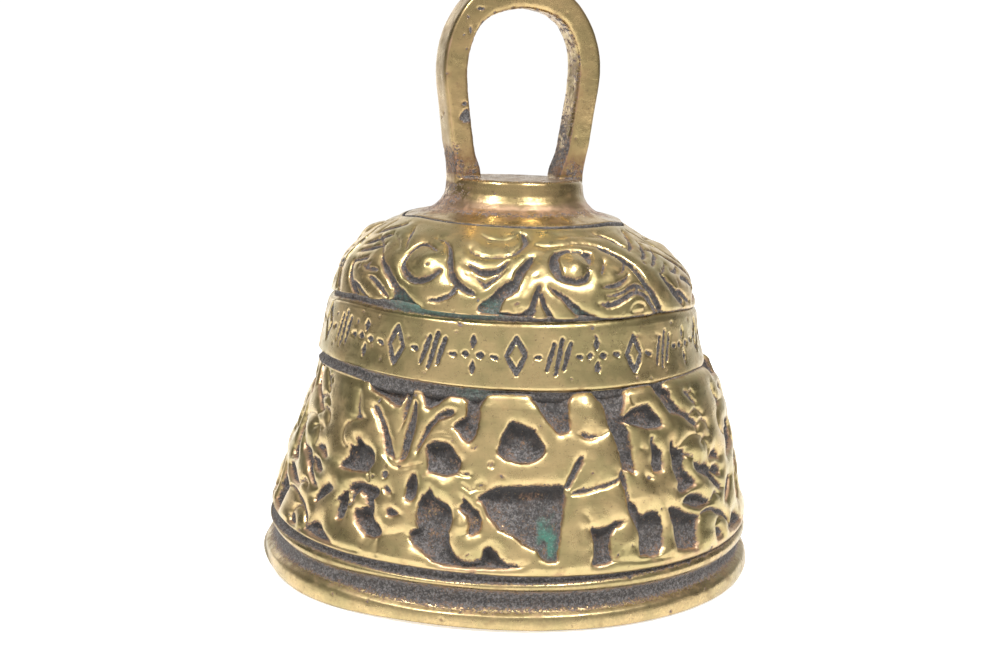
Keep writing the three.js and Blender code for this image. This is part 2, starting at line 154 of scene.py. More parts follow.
# ------------------------------------------------------------------ the figured relief
# Recesses cut back from the raised figures: closed outlines [angle, z] with a depth in mm.
# Angles are measured from the middle of the front, positive to the right seen from outside.
POCKETS = [
    # --- waist, left: foliage with a three-bladed leaf
    (1.25, [(-44.5, 32.3), (-44, 31.7), (-41, 31.2), (-40.5, 30.4), (-38, 30), (-34, 29.3), (-31, 28.9), (-29.5, 29.0), (-29, 29.7), (-28.5, 31), (-28, 32.3)]),
    (0.8, [(-44.6, 29.8), (-43.8, 29.2), (-42.9, 27.8), (-42, 26.9), (-39.5, 26.3), (-41, 26.15), (-43.5, 26.0), (-44.6, 26.0), (-43.4, 26.6), (-44, 27.5), (-44.7, 29)]),
    (0.95, [(-38.9, 28.1), (-38, 28.5), (-36.5, 28.3), (-34.5, 27.4), (-32, 25.8), (-30, 24.0), (-29, 22.8), (-28, 22.0), (-28.8, 21.8), (-31.6, 22.4), (-32.4, 23.6), (-33.5, 25.0), (-35.2, 26.3), (-37.2, 27.4)]),
    (0.95, [(-28.9, 32), (-26.0, 32), (-26.3, 30.3), (-26.8, 29.0), (-27.2, 27.6), (-27.9, 26.0), (-28.3, 27.0), (-28.8, 28.6), (-28.9, 30)]),
    (0.95, [(-25.4, 30.3), (-24.3, 29.9), (-23.9, 27.5), (-24.1, 25.0), (-24.7, 23.0), (-25.5, 22.0), (-27.7, 21.6), (-27.2, 22.6), (-27, 24.0), (-26.8, 25.7), (-26.3, 27.5), (-25.9, 29.2)]),
    (1.25, [(-44.6, 19.6), (-43.5, 20.3), (-43.2, 21.3), (-42.8, 22.4), (-41.2, 22.3), (-41.3, 23.3), (-39.6, 23.6), (-38.6, 23.1), (-36, 22.7), (-34.3, 22.1), (-34, 21), (-34.5, 20.2), (-35.5, 19.4), (-38.5, 19.1), (-42, 18.9), (-45.4, 18.95)]),
    (1.2, [(-42.8, 12.0), (-43, 13.4), (-42.6, 14.8), (-41.4, 15.9), (-40.2, 16.4), (-39.5, 15.2), (-39.6, 13.7), (-40.2, 12.5), (-41.6, 11.7)]),
    (1.1, [(-40.7, 16.5), (-38.9, 17.4), (-36.5, 17.9), (-33.8, 17.85), (-30.6, 17.5), (-30.8, 16.6), (-32, 16.1), (-31.6, 15.2), (-31.4, 13.9), (-33.4, 14.2), (-34.2, 15.4), (-34.8, 16.2), (-36.5, 16.6), (-37.4, 16.0), (-37.9, 15.0), (-38.4, 14.5), (-39.1, 15.4), (-38.9, 16.3), (-39.8, 16.3)]),
    (1.25, [(-37.3, 13.3), (-36.7, 14.1), (-35, 14.3), (-33.8, 14.9), (-33, 14.7), (-32, 14.1), (-30.8, 13.1), (-29.8, 12.8), (-28.3, 12.0), (-28.7, 11.3), (-30.5, 10.9), (-32.6, 10.9), (-34.4, 11.5), (-36.3, 12.3)]),
    (0.75, [(-28.2, 14.9), (-26.8, 15.6), (-24.6, 15.1), (-24, 14.8), (-26, 14.2), (-27.6, 14.1)]),
    (0.7, [(-30.2, 17.9), (-28.5, 18.3), (-27.3, 17.8), (-26.6, 17.1), (-29, 17.2)]),
    (0.9, [(-52.1, 13.3), (-50.8, 14.6), (-49.5, 15.5), (-47.5, 16.3), (-45.2, 15.9), (-46, 15.2), (-47.5, 14.5), (-49.5, 13.5), (-51, 12.8)]),
    (1.1, [(-53.4, 8.9), (-51, 9.7), (-48.8, 10.6), (-47.2, 10.5), (-45, 9.6), (-43, 8.9), (-41.5, 8.4), (-45, 8.4), (-49.5, 8.5)]),
    (0.9, [(-57.2, 18.2), (-56, 18.9), (-53.5, 18.8), (-51.1, 17.7), (-51.6, 17.1), (-54, 17.1)]),
    (0.9, [(-57.2, 20.1), (-55, 20.9), (-52.5, 20.9), (-50.3, 19.6), (-51.3, 19.3), (-53.8, 19.8)]),
    # --- waist, middle left
    (1.25, [(-23.5, 32.3), (-23.6, 31.2), (-22.8, 30), (-22.3, 29.5), (-20.5, 29.3), (-19, 29.8), (-17.3, 30.7), (-15, 31.4), (-12, 31.3), (-10.7, 30.7), (-10.8, 29.4), (-11, 28.6), (-12.3, 28.2), (-13.9, 27.6), (-14.4, 27.2), (-12.6, 26.6), (-11, 25.6), (-9.7, 25.2), (-8.5, 25.8), (-7.9, 26.6), (-7.1, 28.5), (-6.9, 30.4), (-6.1, 31.2), (-5.3, 32.3)]),
    (0.9, [(-13.6, 29.3), (-15, 29.6), (-16.6, 29.3), (-18.5, 28.7), (-20.2, 27.5), (-21.5, 26.3), (-22.4, 25.0), (-23.1, 23.6), (-22.5, 23.1), (-21.5, 24.0), (-20.6, 25.4), (-19.3, 26.8), (-17.9, 27.8), (-16, 28.3), (-14, 28.7)]),
    (1.3, [(-20.4, 24.2), (-19, 24.9), (-17, 25.1), (-14.5, 24.9), (-13.3, 24.3), (-12.2, 23.5), (-10.8, 22.8), (-10.9, 22.0), (-11.4, 21.2), (-13.5, 20.7), (-16.5, 20.8), (-18.9, 20.9), (-19.3, 22), (-19.7, 22.8), (-20.1, 23.4)]),
    (1.2, [(-24.0, 17.1), (-24.1, 18.4), (-23.7, 19.3), (-22.7, 20.4), (-21.8, 20.5), (-21.2, 19.8), (-20.9, 18.6), (-21, 17.5), (-21.8, 16.8), (-23, 16.7)]),
    (1.35, [(-18, 18.8), (-17.2, 18.3), (-16.6, 17.6), (-14.9, 17.2), (-13.2, 16.9), (-12.2, 16.3), (-11.7, 15.2), (-11.9, 14.2), (-12.3, 13.2), (-11.9, 12), (-11.3, 10.9), (-10.3, 10.2), (-9, 9.7), (-7, 9.6), (-4.9, 9.9), (-4.6, 10.6), (-4.2, 11.4), (-3, 11.7), (-1.6, 10.9), (-0.4, 10.0), (0.8, 9.5), (1.8, 9.3), (5.5, 9.3), (4, 8.85), (0.5, 8.75), (-5, 8.75), (-8.5, 8.7), (-12, 8.7), (-15.5, 9.1), (-16.8, 9.8), (-18.5, 10.5), (-20.2, 11.0), (-21.6, 12.0), (-20.8, 12.9), (-19.6, 13.3), (-20.3, 14.1), (-20.6, 15.4), (-20.4, 16.8), (-19.6, 17.6), (-18.6, 18.0)]),
    (1.0, [(-10, 18.2), (-9, 17.9), (-7.4, 16.8), (-5.8, 16.3), (-4.8, 15.3), (-4.9, 14.2), (-5.6, 13.3), (-7.4, 12.8), (-8.5, 13.0), (-7.9, 13.9), (-8, 14.8), (-8.6, 15.5), (-9.8, 16.0), (-10.7, 16.5), (-10.1, 17.2)]),
    # --- waist, middle: two openings of a bent frame, and the slope below them
    (1.4, [(0.1, 28.3), (1, 28.5), (2.5, 28.4), (4, 28.1), (5.2, 27.8), (6.8, 27.4), (8, 26.5), (8.8, 25.8), (9.9, 25), (10, 24.4), (8.5, 23.6), (7, 23.1), (5, 22.9), (2, 23.1), (-0.5, 23.4), (-2.1, 24), (-2.4, 24.7), (-1.9, 25.5), (-1.6, 26.4), (-0.8, 27.3)]),
    (1.45, [(-6.4, 18.2), (-4, 19.2), (-1, 19.75), (3, 19.85), (8, 19.95), (13.8, 19.95), (14.5, 19.4), (14.7, 18.4), (14.1, 17), (13.7, 15.4), (13.1, 13.2), (12.4, 11), (12, 9.8), (10, 9.8), (8.4, 10.4), (7.8, 11.3), (5.5, 12.1), (4.4, 12.6), (2.8, 14.2), (1.4, 15.8), (0.1, 17), (-1.5, 17.2), (-4.5, 17.6), (-6.4, 17.6)]),
    (1.05, [(-6.2, 18.1), (-1.0, 18.2), (2.6, 17.2), (5.6, 14.2), (7.4, 11.2), (4.6, 12.0), (2.2, 13.1), (-1.2, 13.8), (-3.6, 15.6)]),
    (1.3, [(7, 32.3), (6.4, 31.4), (8.3, 30.4), (9.9, 29.1), (11.9, 27.8), (13.5, 26.8), (14.6, 26.7), (16.5, 27), (17, 28.2), (16.9, 29.5), (17.1, 30.8), (17.7, 31.5), (18.6, 32.3)]),
    # --- waist: standing robed figure, the gaps beside and below it
    (0.55, [(18, 26.5), (20, 26.75), (22, 26.35), (25, 26.25), (27.4, 26.9), (27.9, 26.5), (26, 25.95), (23, 25.5), (20.5, 25.6)]),
    (1.35, [(23.6, 32.3), (24.3, 31.5), (25.9, 30.7), (27, 29.9), (27.4, 28.6), (27.9, 27.2), (28.7, 26), (29.2, 24.8), (29.9, 23.3), (30.2, 22.2), (30.5, 21.3), (31.9, 21.1), (33.5, 20.5), (34.5, 21), (34.1, 22.6), (33.9, 24.5), (33.6, 26.2), (32.8, 27.6), (32.7, 28.8), (33.7, 30), (34.1, 31), (33.9, 32.3)]),
    (1.0, [(29, 20.9), (30.7, 21.6), (31.2, 20.3), (31.2, 18.6), (31.6, 17.2), (32.9, 16.3), (33.5, 15.2), (35, 14.7), (33.5, 13.8), (32.2, 13), (31.6, 14.2), (30.7, 15.5), (30.2, 17), (29.9, 18.5), (29.3, 19.7)]),
    (1.0, [(20, 23.5), (20.2, 22.9), (18.7, 21.8), (17.5, 20.9), (16.5, 20.1), (15.6, 19.3), (13.9, 19.4), (15.1, 20.6), (16.5, 21.8), (17.7, 23.0), (18.8, 23.6)]),
    (1.3, [(19.7, 14.1), (22, 14), (24.5, 14.1), (26.5, 14.65), (29.6, 14.7), (28.3, 14.05), (26.6, 13.7), (25.3, 12.8), (25, 11.5), (24.9, 10.2), (25.5, 9.3), (23.5, 9.05), (21.5, 8.95), (20, 9.15), (20.6, 10.2), (20.8, 11.8), (20.5, 13.2)]),
    (1.15, [(33, 14.6), (34.8, 15.15), (36.5, 15.3), (38.6, 15), (39.9, 14), (40.2, 12.8), (40, 11.4), (39.3, 10), (37.8, 9.15), (35.5, 9.1), (33.5, 9.5), (32.1, 9.4), (32, 10.5), (32.5, 12), (32.3, 13.5)]),
    (1.15, [(31.7, 27.7), (33.5, 28.75), (35.5, 29.3), (38.5, 29.6), (41, 29.6), (42.5, 29), (43.8, 28.1), (45.3, 27.1), (45.9, 26.4), (44, 26.2), (41.5, 26.2), (39, 26.4), (37, 26.8), (34.5, 27.2)]),
    (1.15, [(40.2, 25.4), (41.3, 25.1), (41.4, 24.2), (42.4, 23.5), (43.7, 22.7), (43.5, 21.4), (42.6, 20.4), (41, 20.2), (39.5, 20.4), (39.1, 21.6), (39.8, 22.6), (40, 24)]),
    (0.6, [(36.5, 20.2), (38.5, 20.0), (39.6, 19.6), (38, 19.2), (36.7, 19.4)]),
    # --- waist, right
    (1.2, [(47.3, 24.3), (48.3, 24), (48.4, 23.2), (50, 22.7), (51.9, 22.6), (51.7, 21), (51.4, 19.6), (52.1, 18.6), (53.7, 17.8), (54.5, 17.2), (52, 16.9), (50, 16.6), (47.4, 16.8), (46.5, 17.6), (47.2, 18.4), (46.7, 19.4), (46.1, 20.5), (46.5, 21.8), (46.4, 22.9)]),
    (1.2, [(42.3, 15.2), (43.5, 15.2), (45.3, 14.8), (47, 14.3), (48.5, 13.7), (50.3, 13.5), (52.5, 13), (53.6, 12.5), (52.4, 11.7), (51.6, 10.6), (51.3, 9.4), (50.4, 8.55), (48, 8.8), (45.5, 9.1), (43.5, 9.4), (43.2, 10.8), (43.3, 12.4), (42.7, 13.8)]),
    (1.1, [(47.4, 15.4), (49, 16), (51.5, 16.2), (54, 15.9), (56, 15.4), (58, 14.7), (60, 14.1), (57, 13.8), (54.2, 13.8), (51.5, 14.3), (49.3, 14.8)]),
    (1.1, [(43.6, 32.2), (46.5, 32.2), (49.5, 31.4), (51.3, 30.6), (51.8, 29.6), (53, 28.6), (55.5, 27.6), (58, 26.9), (60, 26.1), (61.7, 25.2), (60, 25.1), (57.5, 25.9), (55, 26.9), (52, 27.5), (49.5, 27.9), (47.7, 29), (46.4, 30.2), (44.8, 31.1)]),
    (1.0, [(54.8, 20.9), (56, 20.3), (57.5, 19.7), (59.5, 19.6), (61.5, 19.4), (63, 18.4), (64.5, 17.1), (66.5, 15.9), (69, 15), (66, 15.1), (63, 16.3), (60.5, 17.7), (58, 18.3), (56, 18.8), (54.8, 19.6)]),
    (0.9, [(60.2, 10.3), (61.8, 10), (63.3, 8.9), (61.5, 8.5), (59.5, 8.6), (59.3, 9.5)]),
    # --- shoulder
    (1.0, [(-38.6, 44.6), (-36.5, 45.2), (-34.5, 45.1), (-33, 44.7), (-31.5, 44.1), (-29.5, 43.4), (-27.3, 42.7), (-26.5, 41.9), (-44, 41.9), (-42, 42.5), (-38.5, 42.9), (-37.7, 43.6)]),
    (0.95, [(8.6, 50.5), (6.5, 50.4), (4.5, 49.9), (2.8, 49.4), (1.4, 48.7), (0.1, 47.5), (-2, 47), (-4, 46.3), (-5.3, 45.4), (-7, 44.6), (-9.5, 44), (-9.9, 43.2), (-8.5, 42.5), (-3, 42.2), (-2.5, 43.1), (-2.1, 44), (-1.4, 44.9), (0.6, 45.5), (2.5, 46.2), (3.3, 47.1), (4.4, 48.2), (6.1, 49.1), (7.8, 49.8)]),
    (0.9, [(11.6, 46.9), (13.2, 46.5), (15, 45.9), (17.5, 45.1), (20, 44.2), (22, 43.4), (24.5, 42.7), (27, 42.3), (28.5, 41.9), (21, 41.9), (19.9, 42.5), (18.4, 43.2), (16.4, 44.1), (14.1, 45.1), (12.1, 46), (11, 46.6)]),
    (0.7, [(2.8, 53.1), (5.5, 52.9), (7.8, 52.1), (5.5, 51.4), (3.5, 50.8), (1, 50.3), (0.3, 50.7), (2.5, 51.3), (3.8, 51.9), (3.4, 52.6)]),
    (0.55, [(29.3, 48.3), (31, 49.1), (33.5, 49.85), (34.5, 49.6), (33, 48.8), (31, 48.0), (29.3, 47.8)]),
    (0.55, [(24.3, 50.7), (28, 50.9), (31.2, 50.7), (29.6, 50.0), (28, 49.2), (26.4, 49.1), (25.9, 49.9)]),
]

# Grooves: depth, then [angle, z, width] along a smooth line.
GROOVES = [
    # waist
    (0.4, [(-41.5, 26.1, .35), (-44.5, 25.6, .4), (-46.3, 24.7, .45), (-46.6, 23.6, .4), (-45.5, 22.5, .45), (-44, 22, .5)]),
    (0.35, [(-31.5, 22.2, .35), (-28.5, 21.1, .4), (-25, 21.1, .4), (-22.5, 21.5, .4), (-20.5, 21.9, .3)]),
    (0.35, [(-35, 19.7, .5), (-34, 18.5, .5)]),
    (0.25, [(-29, 11.4, .3), (-28.7, 8.6, .35)]),
    (0.2, [(-28.4, 11.4, .25), (-24.5, 12.0, .25), (-22.4, 12.7, .25)]),
    (0.35, [(-40.8, 8.55, .4), (-38.6, 8.35, .5)]), (0.35, [(-37.8, 8.5, .4), (-36.2, 8.4, .5)]), (0.3, [(-35.5, 8.5, .4), (-34, 8.6, .4)]),
    (0.3, [(-62, 26.9, .6), (-58, 27.5, .7), (-55, 26.4, .5)]), (0.35, [(-60.5, 24.6, .5), (-57, 25.8, .6), (-54, 25.2, .6), (-53.3, 24.2, .5)]),
    (0.35, [(-60.5, 29.6, .6), (-58.5, 30.2, .5), (-57, 29.4, .4)]), (0.35, [(-60, 22.8, .5), (-57, 23.4, .5), (-55, 23.1, .4)]),
    (0.35, [(-60, 10.4, .5), (-57.5, 11.4, .6), (-55.5, 11.1, .5)]), (0.35, [(-60, 14.4, .6), (-57.5, 15.2, .7), (-55.5, 14.6, .5)]),
    (0.25, [(-21.3, 24.4, .3), (-19.5, 25.7, .3), (-17, 26.2, .3), (-13.9, 26.1, .3)]),
    (0.4, [(-11.7, 21.2, .5), (-10, 21.0, .6), (-8.5, 21.0, .5)]),
    (0.4, [(-9.9, 19.8, .45), (-8.7, 19.15, .55), (-7.2, 19.2, .5), (-6.6, 20.1, .4)]),
    (0.4, [(-6.6, 19.2, .4), (-5.3, 19.3, .45), (-4.9, 19.9, .4), (-5.9, 20.3, .35)]),
    (0.3, [(4.6, 27.7, .3), (7.4, 27.2, .45)]),
    (0.5, [(16.2, 18.9, .5), (19, 18.95, .6), (22, 19.15, .6), (25, 19.5, .6), (28, 19.9, .55), (30, 20.5, .5)]),
    (0.3, [(19.2, 16, .35), (20.5, 14.2, .45)]), (0.2, [(17.9, 14, .25), (17.6, 12.3, .25)]),
    (0.3, [(25.5, 9.3, .4), (30, 9.0, .45), (33, 8.8, .4), (41, 8.7, .4)]),
    (0.3, [(36.7, 23.8, .45), (38.5, 23.6, .4)]), (0.3, [(35.7, 31.0, .35), (35.9, 30.2, .35), (36.8, 29.8, .3)]),
    (0.35, [(51.9, 21.8, .6), (54.6, 21.1, .7)]), (0.3, [(49.5, 23.1, .4), (53, 23.8, .45), (56.5, 24.3, .45), (60, 23.9, .4), (62.5, 22.9, .5), (63.3, 21.6, .5), (62.3, 20.3, .4)]),
    (0.5, [(54, 13, .5), (58, 13.1, .7), (62, 12.3, .8), (65.5, 11.3, .7), (67.3, 10.2, .7), (67.6, 9, .6)]),
    (0.4, [(57.5, 30.4, .6), (60, 29.5, .8), (62.5, 28.2, .6)]),
    (0.4, [(33.9, 13.3, .5), (36.5, 12.2, .5), (38.5, 11.8, .4)]),
    # shoulder: left scroll, its stem and lobes
    (0.7, [(-28, 50.2, .4), (-31, 50.55, .45), (-34.5, 50.75, .5), (-37.3, 50.4, .6), (-38.6, 49.5, .7), (-38.2, 48.5, .8), (-36.6, 47.7, .95), (-34.4, 47.0, 1.0), (-32, 46.5, 1.0), (-29.4, 46.4, 1.0), (-27, 46.7, .9), (-25, 47.3, .8), (-23.4, 47.9, .7)]),
    (0.7, [(-31.5, 51.65, .3), (-27, 51.3, .4), (-24, 50.7, .6), (-22, 49.9, .8), (-20.6, 48.9, .95), (-19.2, 47.9, 1.0), (-17.2, 46.9, 1.05), (-14.4, 46.1, .95), (-11.6, 45.5, .7), (-10.6, 45.3, .4)]),
    (0.6, [(-16.7, 46.3, .7), (-17.3, 45.3, .8), (-19.3, 44.5, .8), (-22, 43.95, .7), (-24.8, 43.9, .5)]),
    (0.85, [(-49, 48.6, .5), (-47, 48.1, .7), (-44.5, 47.5, .9), (-42, 46.8, 1.0), (-40, 46.2, 1.1), (-38, 45.4, 1.2), (-36.2, 44.6, 1.3), (-34.5, 43.7, 1.3), (-33, 43, 1.2)]),
    (0.45, [(-63, 50.5, .4), (-58, 50.2, .5), (-54, 49.8, .5), (-50.8, 49.1, .5), (-48.5, 48.4, .5)]),
    (0.45, [(-56, 47.1, .5), (-53, 46.8, .8), (-50, 46.8, .8), (-47.6, 47, .5)]),
    (0.6, [(-50.6, 45.7, .4), (-48, 45.6, .8), (-45, 45, 1.0), (-42.5, 44.3, .8), (-40, 43.4, .6)]),
    (0.5, [(-59, 44.0, .5), (-56, 44.1, .9), (-53, 43.6, .8), (-50.5, 42.8, .7), (-48, 42.3, .6)]),
    (0.45, [(-49, 52.3, .4), (-46.7, 51.8, .6), (-45, 51.1, .7), (-42.6, 50.4, .5), (-41, 50, .4)]),
    (0.35, [(-57, 51.3, .4), (-52, 51, .45), (-48, 50.6, .45), (-44.6, 49.9, .4)]),
    # shoulder: nested leaf arcs
    (0.5, [(-16.2, 50.9, .35), (-14.5, 50.4, .5), (-12, 50.15, .5), (-9, 50.0, .5), (-5, 50.1, .5), (-1, 50.3, .5), (2, 50.8, .6)]),
    (0.65, [(-14.8, 49.0, .35), (-12.5, 48.6, .7), (-9.5, 48.15, 1.0), (-6.5, 48.2, 1.0), (-4, 48.55, .8), (-2.3, 49.2, .6), (-1, 49.8, .4)]),
    (0.45, [(-12.2, 48, .3), (-10.5, 47.4, .5), (-9, 46.9, .7), (-7.8, 46.5, .8), (-6, 47.1, .8), (-4, 47.8, .7), (-1.6, 48.8, .4)]),
    (0.75, [(-2.7, 42.5, .8), (3, 42.4, .8), (5.4, 42.9, .9), (6.8, 43.9, .9), (7.4, 45.2, .9), (8.4, 46.6, .7)]),
    (0.7, [(9, 45.6, .7), (9.8, 44.2, .8), (11, 43, .9), (12.6, 41.9, .9)]), (0.6, [(7.4, 43.4, .6), (5.4, 42, .8)]),
    (0.25, [(0.2, 44.1, .35), (1.2, 43.2, .35)]), (0.25, [(7.4, 48.1, .35), (8.8, 48.3, .3)]),
    # shoulder: right scroll inside its arch
    (0.75, [(26, 50.9, .4), (22, 50.95, .5), (18.5, 50.8, .7), (15.8, 50.4, 1.0), (14.6, 49.6, 1.4), (14.6, 48.8, 1.5), (15.4, 48, 1.2), (17.5, 47.5, .9), (19.7, 47.3, .8), (22, 47.3, .8), (24.3, 47.7, .8), (25.6, 48.3, .5)]),
    (0.5, [(9.6, 51.6, .3), (12, 51.5, .35), (18, 51.6, .35), (24, 51.75, .35), (30, 51.75, .4), (35, 51.4, .4), (39, 50.8, .6)]),
    (0.8, [(36, 51.1, .5), (39, 50.6, .7), (41.5, 50, .9), (43.4, 49.2, 1.2), (44.7, 48.2, 1.3), (45.6, 47, 1.2), (46.6, 46, 1.1), (48, 45, 1.1), (49.4, 44, 1.0), (50.8, 43, 1.0), (52.4, 42, 1.0)]),
    (0.45, [(35.5, 47.9, .4), (38, 48.1, .5), (40, 48.6, .6), (41.8, 49.2, .6)]),
    (0.5, [(28.8, 46.5, .4), (31.5, 46.4, .7), (34.5, 46.5, .8), (37.5, 47.0, .7), (40.3, 47.7, .4)]),
    (0.5, [(29.5, 45.2, .4), (33, 45.2, .6), (37, 45.6, .6), (40.5, 46.1, .8), (43.5, 46, .8), (45, 45.6, .6)]),
    (0.55, [(26.8, 44.2, .4), (29.5, 43.9, .7), (33, 44.1, .9), (36.5, 44.7, .9), (40, 45.3, .8), (43, 45.2, .8), (45.6, 44.4, .9), (47.5, 43.4, .9), (49.2, 42.3, .9)]),
    (0.4, [(38.6, 43.0, .45), (40, 43.7, .45), (42.3, 43.75, .45), (44.2, 43.2, .45), (43.6, 42.7, .45), (41.2, 42.55, .45), (39.2, 42.65, .45), (38.6, 43.0, .45)]),
    (0.6, [(50, 50.6, .5), (54, 51.1, .8), (58, 51.7, .8), (63, 52.4, .6)]), (0.6, [(52.6, 49.4, .5), (56.5, 49.9, .9), (60, 50.4, .9), (64, 51, .6)]),
    (0.55, [(54.5, 48.4, .5), (59, 48.9, .8), (63, 49.3, .8), (67, 49.9, .5)]), (0.5, [(57, 47.2, .5), (60, 47.5, .6), (64, 48, .6)]),
    (0.8, [(56.4, 47, .8), (58.2, 45.7, 1.1), (60.3, 44.6, 1.2), (63, 43.5, 1.1), (66, 42.6, .9)]),
    (0.45, [(39.5, 52.7, .4), (44, 52.3, .6), (47, 51.7, .7), (49.4, 51, .6)]), (0.25, [(20, 52.6, .3), (28, 52.6, .35), (36, 52.4, .35), (43, 52.2, .3)]),
    (0.4, [(-13, 52.4, .4), (-10, 52.1, .5), (-6, 52.0, .4), (-1.5, 52.1, .4), (1.5, 52.5, .3)]),
]

# Small punched dots and round bosses: [angle, z, radius, depth]; a negative depth stands up.
DOTS = [
    (-29.7, 19.6, .55, .5), (-14.9, 18.0, .4, .35), (2.0, 28.95, .4, .35), (1.8, 22.5, .5, .35), (25.6, 27.8, .35, .3), (22.1, 30.2, .25, .15),
    (18.9, 24.3, .3, .25), (22.1, 21.8, .22, .2), (25, 22.5, .25, .2), (20.6, 16.4, .25, .25), (25.3, 17.6, .25, .2), (24.2, 20.6, .2, .2),
    (-7.0, 24.6, .35, .25), (-4.8, 26.2, .4, .25), (-3.5, 22.6, .6, .3), (-5.2, 22.2, .4, .25), (-4.2, 24.0, .3, .2), (13.9, 22.6, .3, .2), (12.5, 24.4, .25, .2),
    (-31.8, 21.2, .5, .25), (-42.1, 21, .3, .3), (46, 43, .3, .2), (-6.2, 21.7, .25, .2),
    (-28.9, 49.1, 2.1, -.45), (21, 49.1, 2.1, -.55), (22.3, 29.2, 2.3, -.35), (-9.6, 14.2, 1.1, -.3), (22.5, 23.5, 2.8, -.25),
    (-14.6, 18.9, 1.2, -.2), (-26.3, 15.3, 2.4, -.2), (57.5, 21.9, 2.2, -.3), (-40.5, 24.8, 1.6, -.2), (3.0, 44.8, 1.3, -.2),
    (17.2, 12.2, 1.4, -.15), (28.5, 11.9, 1.4, -.2), (-5.5, 11.8, 1.7, -.25), (36.0, 18.0, 1.8, -.2),
]
TURNS = (0.0, 120.0, 240.0)                      # the design runs three times round

# Incised marks on the plain band between the two figured zones: plain strokes, no letters.
def band_marks():
    marks, n = [], 60
    for k in range(n):
        a, kind = -180 + 360.0 * k / n + 2.1, k % 6
        j = np.random.RandomState(900 + k).uniform(-1, 1, 6)
        a += 0.35 * j[0]
        m = 37.0 + 0.15 * j[1]
        if kind in (1, 3, 5):                    # small drop-shaped nick
            marks.append((0.42, [(a - .8, m + .1 * j[2], .45), (a + .5, m - .1 + .15 * j[3], .75)]))
        elif kind == 0:                          # lozenge
            h, w = 2.45 + .15 * j[2], 2.6
            q = [(a, m + h), (a + w, m), (a, m - h), (a - w, m)]
            for e in range(4):
                p, r = q[e], q[(e + 1) % 4]
                marks.append((0.5, [(p[0], p[1], .6), ((p[0] + r[0]) / 2, (p[1] + r[1]) / 2 + .12 * j[e], .8), (r[0], r[1], .6)]))
        elif kind == 2:                          # hatch of three leaning strokes
            for d, cut_z in ((-2.3, .75), (.1, 1.0), (2.5, .75)):
                marks.append((0.5, [(a + d + 1.2, m + 2.5 * cut_z + .15 * j[3], .6), (a + d + .15, m + .1, .75), (a + d - .9, m - 2.4 * cut_z, .5)]))
        else:                                    # four separate petals round a point
            marks.append((0.5, [(a, m + 2.4 + .1 * j[4], .4), (a + .1, m + 1.75, .95), (a, m + .95, .35)]))
            marks.append((0.5, [(a, m - .95, .35), (a - .1, m - 1.75, .95), (a, m - 2.4 + .1 * j[5], .4)]))
            marks.append((0.5, [(a - 2.9, m, .4), (a - 2.1, m + .05, .9), (a - 1.2, m, .35)]))
            marks.append((0.5, [(a + 1.2, m, .35), (a + 2.1, m - .05, .9), (a + 2.9, m, .4)]))
    return marks
MARKS = band_marks()

PHI = -180 + 360.0 * np.arange(NP) / NP          # angle from the middle of the front
GP, GS = np.meshgrid(PHI, S, indexing="ij")      # NP x NR
GZ = np.repeat(PZ[None, :], NP, 0)
GR = np.repeat(PR[None, :], NP, 0)
KM = GR * math.pi / 180                          # mm per degree at each row
# Edges wander a little, as cast work does.
WARP_P = (0.16 * ring_noise(GP, GS, 70, 3.0, 11, 2) + 0.20 * ring_noise(GP, GS, 14, 14.0, 17) + 0.10 * ring_noise(GP, GS, 360, 0.6, 13, 2)) / KM
WARP_S = 0.14 * ring_noise(GP, GS, 70, 3.0, 23, 2) + 0.14 * ring_noise(GP, GS, 14, 14.0, 29) + 0.10 * ring_noise(GP, GS, 360, 0.6, 37, 2)
QP, QS = GP + WARP_P, GS + WARP_S

# The casting is not quite round: radial offsets towards the right-hand side at each height, and levels that
# sink a little round the flanks.
side = np.sin(np.radians(GP))
LEAN = np.interp(GZ, [0, 3, 6, 9, 14.8, 20.4, 26, 31.2, 32.4, 38, 42, 45, 48, 51.5, 53.4], [.55, .55, .6, .75, 1.0, 1.25, 1.5, 1.45, .35, .25, .4, .5, .1, -.4, -.15])
SWELL = np.interp(GZ, [0, 3, 7, 9, 30, 32, 53], [-.40, -.40, -.1, .28, .28, 0, 0]) + 1.15 * np.exp(-((GP + 47) / 20.0) ** 2) * (1 - smoothstep(3, 12, GZ))
SINK = np.interp(GZ, [8, 28, 32, 42, 46, 53.4], [0, .2, .6, 1.7, 1.4, 1.1]) * smoothstep(50, 92, np.abs(GP))
SHIFT = LEAN * side + SWELL
near = 1 - smoothstep(58, 86, np.abs(GP))
QP = QP + np.degrees(SHIFT / GR * np.tan(np.radians(np.clip(GP, -80, 80)))) * near
QS = s_of_z(np.clip(GZ - SINK, 0, 60)) + WARP_S

REC = np.zeros((NP, NR))                         # how far each point is cut back, mm (negative)
DIST = np.full((NP, NR), 9.0)                    # distance to the nearest cut edge, mm
BOSS = np.zeros((NP, NR))


def window(phis, zs, margin):
    """Row and column indices round a shape, wrapping in angle."""
    s = s_of_z(np.asarray(zs, float))
    j0, j1 = np.searchsorted(S, s.min() - margin), np.searchsorted(S, s.max() + margin)
    if j1 <= j0 + 1:
        return None
    k = max(PR[min(j0, NR - 1)], 15) * math.pi / 180
    kk = min(PR[min(j1, NR - 1)], k * 180 / math.pi) * math.pi / 180
    a0, a1 = min(phis) - margin / kk, max(phis) + margin / kk
    i0, i1 = int(math.floor((a0 + 180) / 360 * NP)), int(math.ceil((a1 + 180) / 360 * NP))
    return np.arange(i0, i1 + 1), np.arange(j0, min(j1, NR))


def local(ii, jj, centre):
    """Unrolled position of the window's points: mm round the bell from centre, and mm up the wall."""
    iw = ii % NP
    p = QP[np.ix_(iw, jj)]
    d = (p - centre + 180) % 360 - 180
    k = KM[np.ix_(iw, jj)]
    return iw, d, k, QS[np.ix_(iw, jj)]


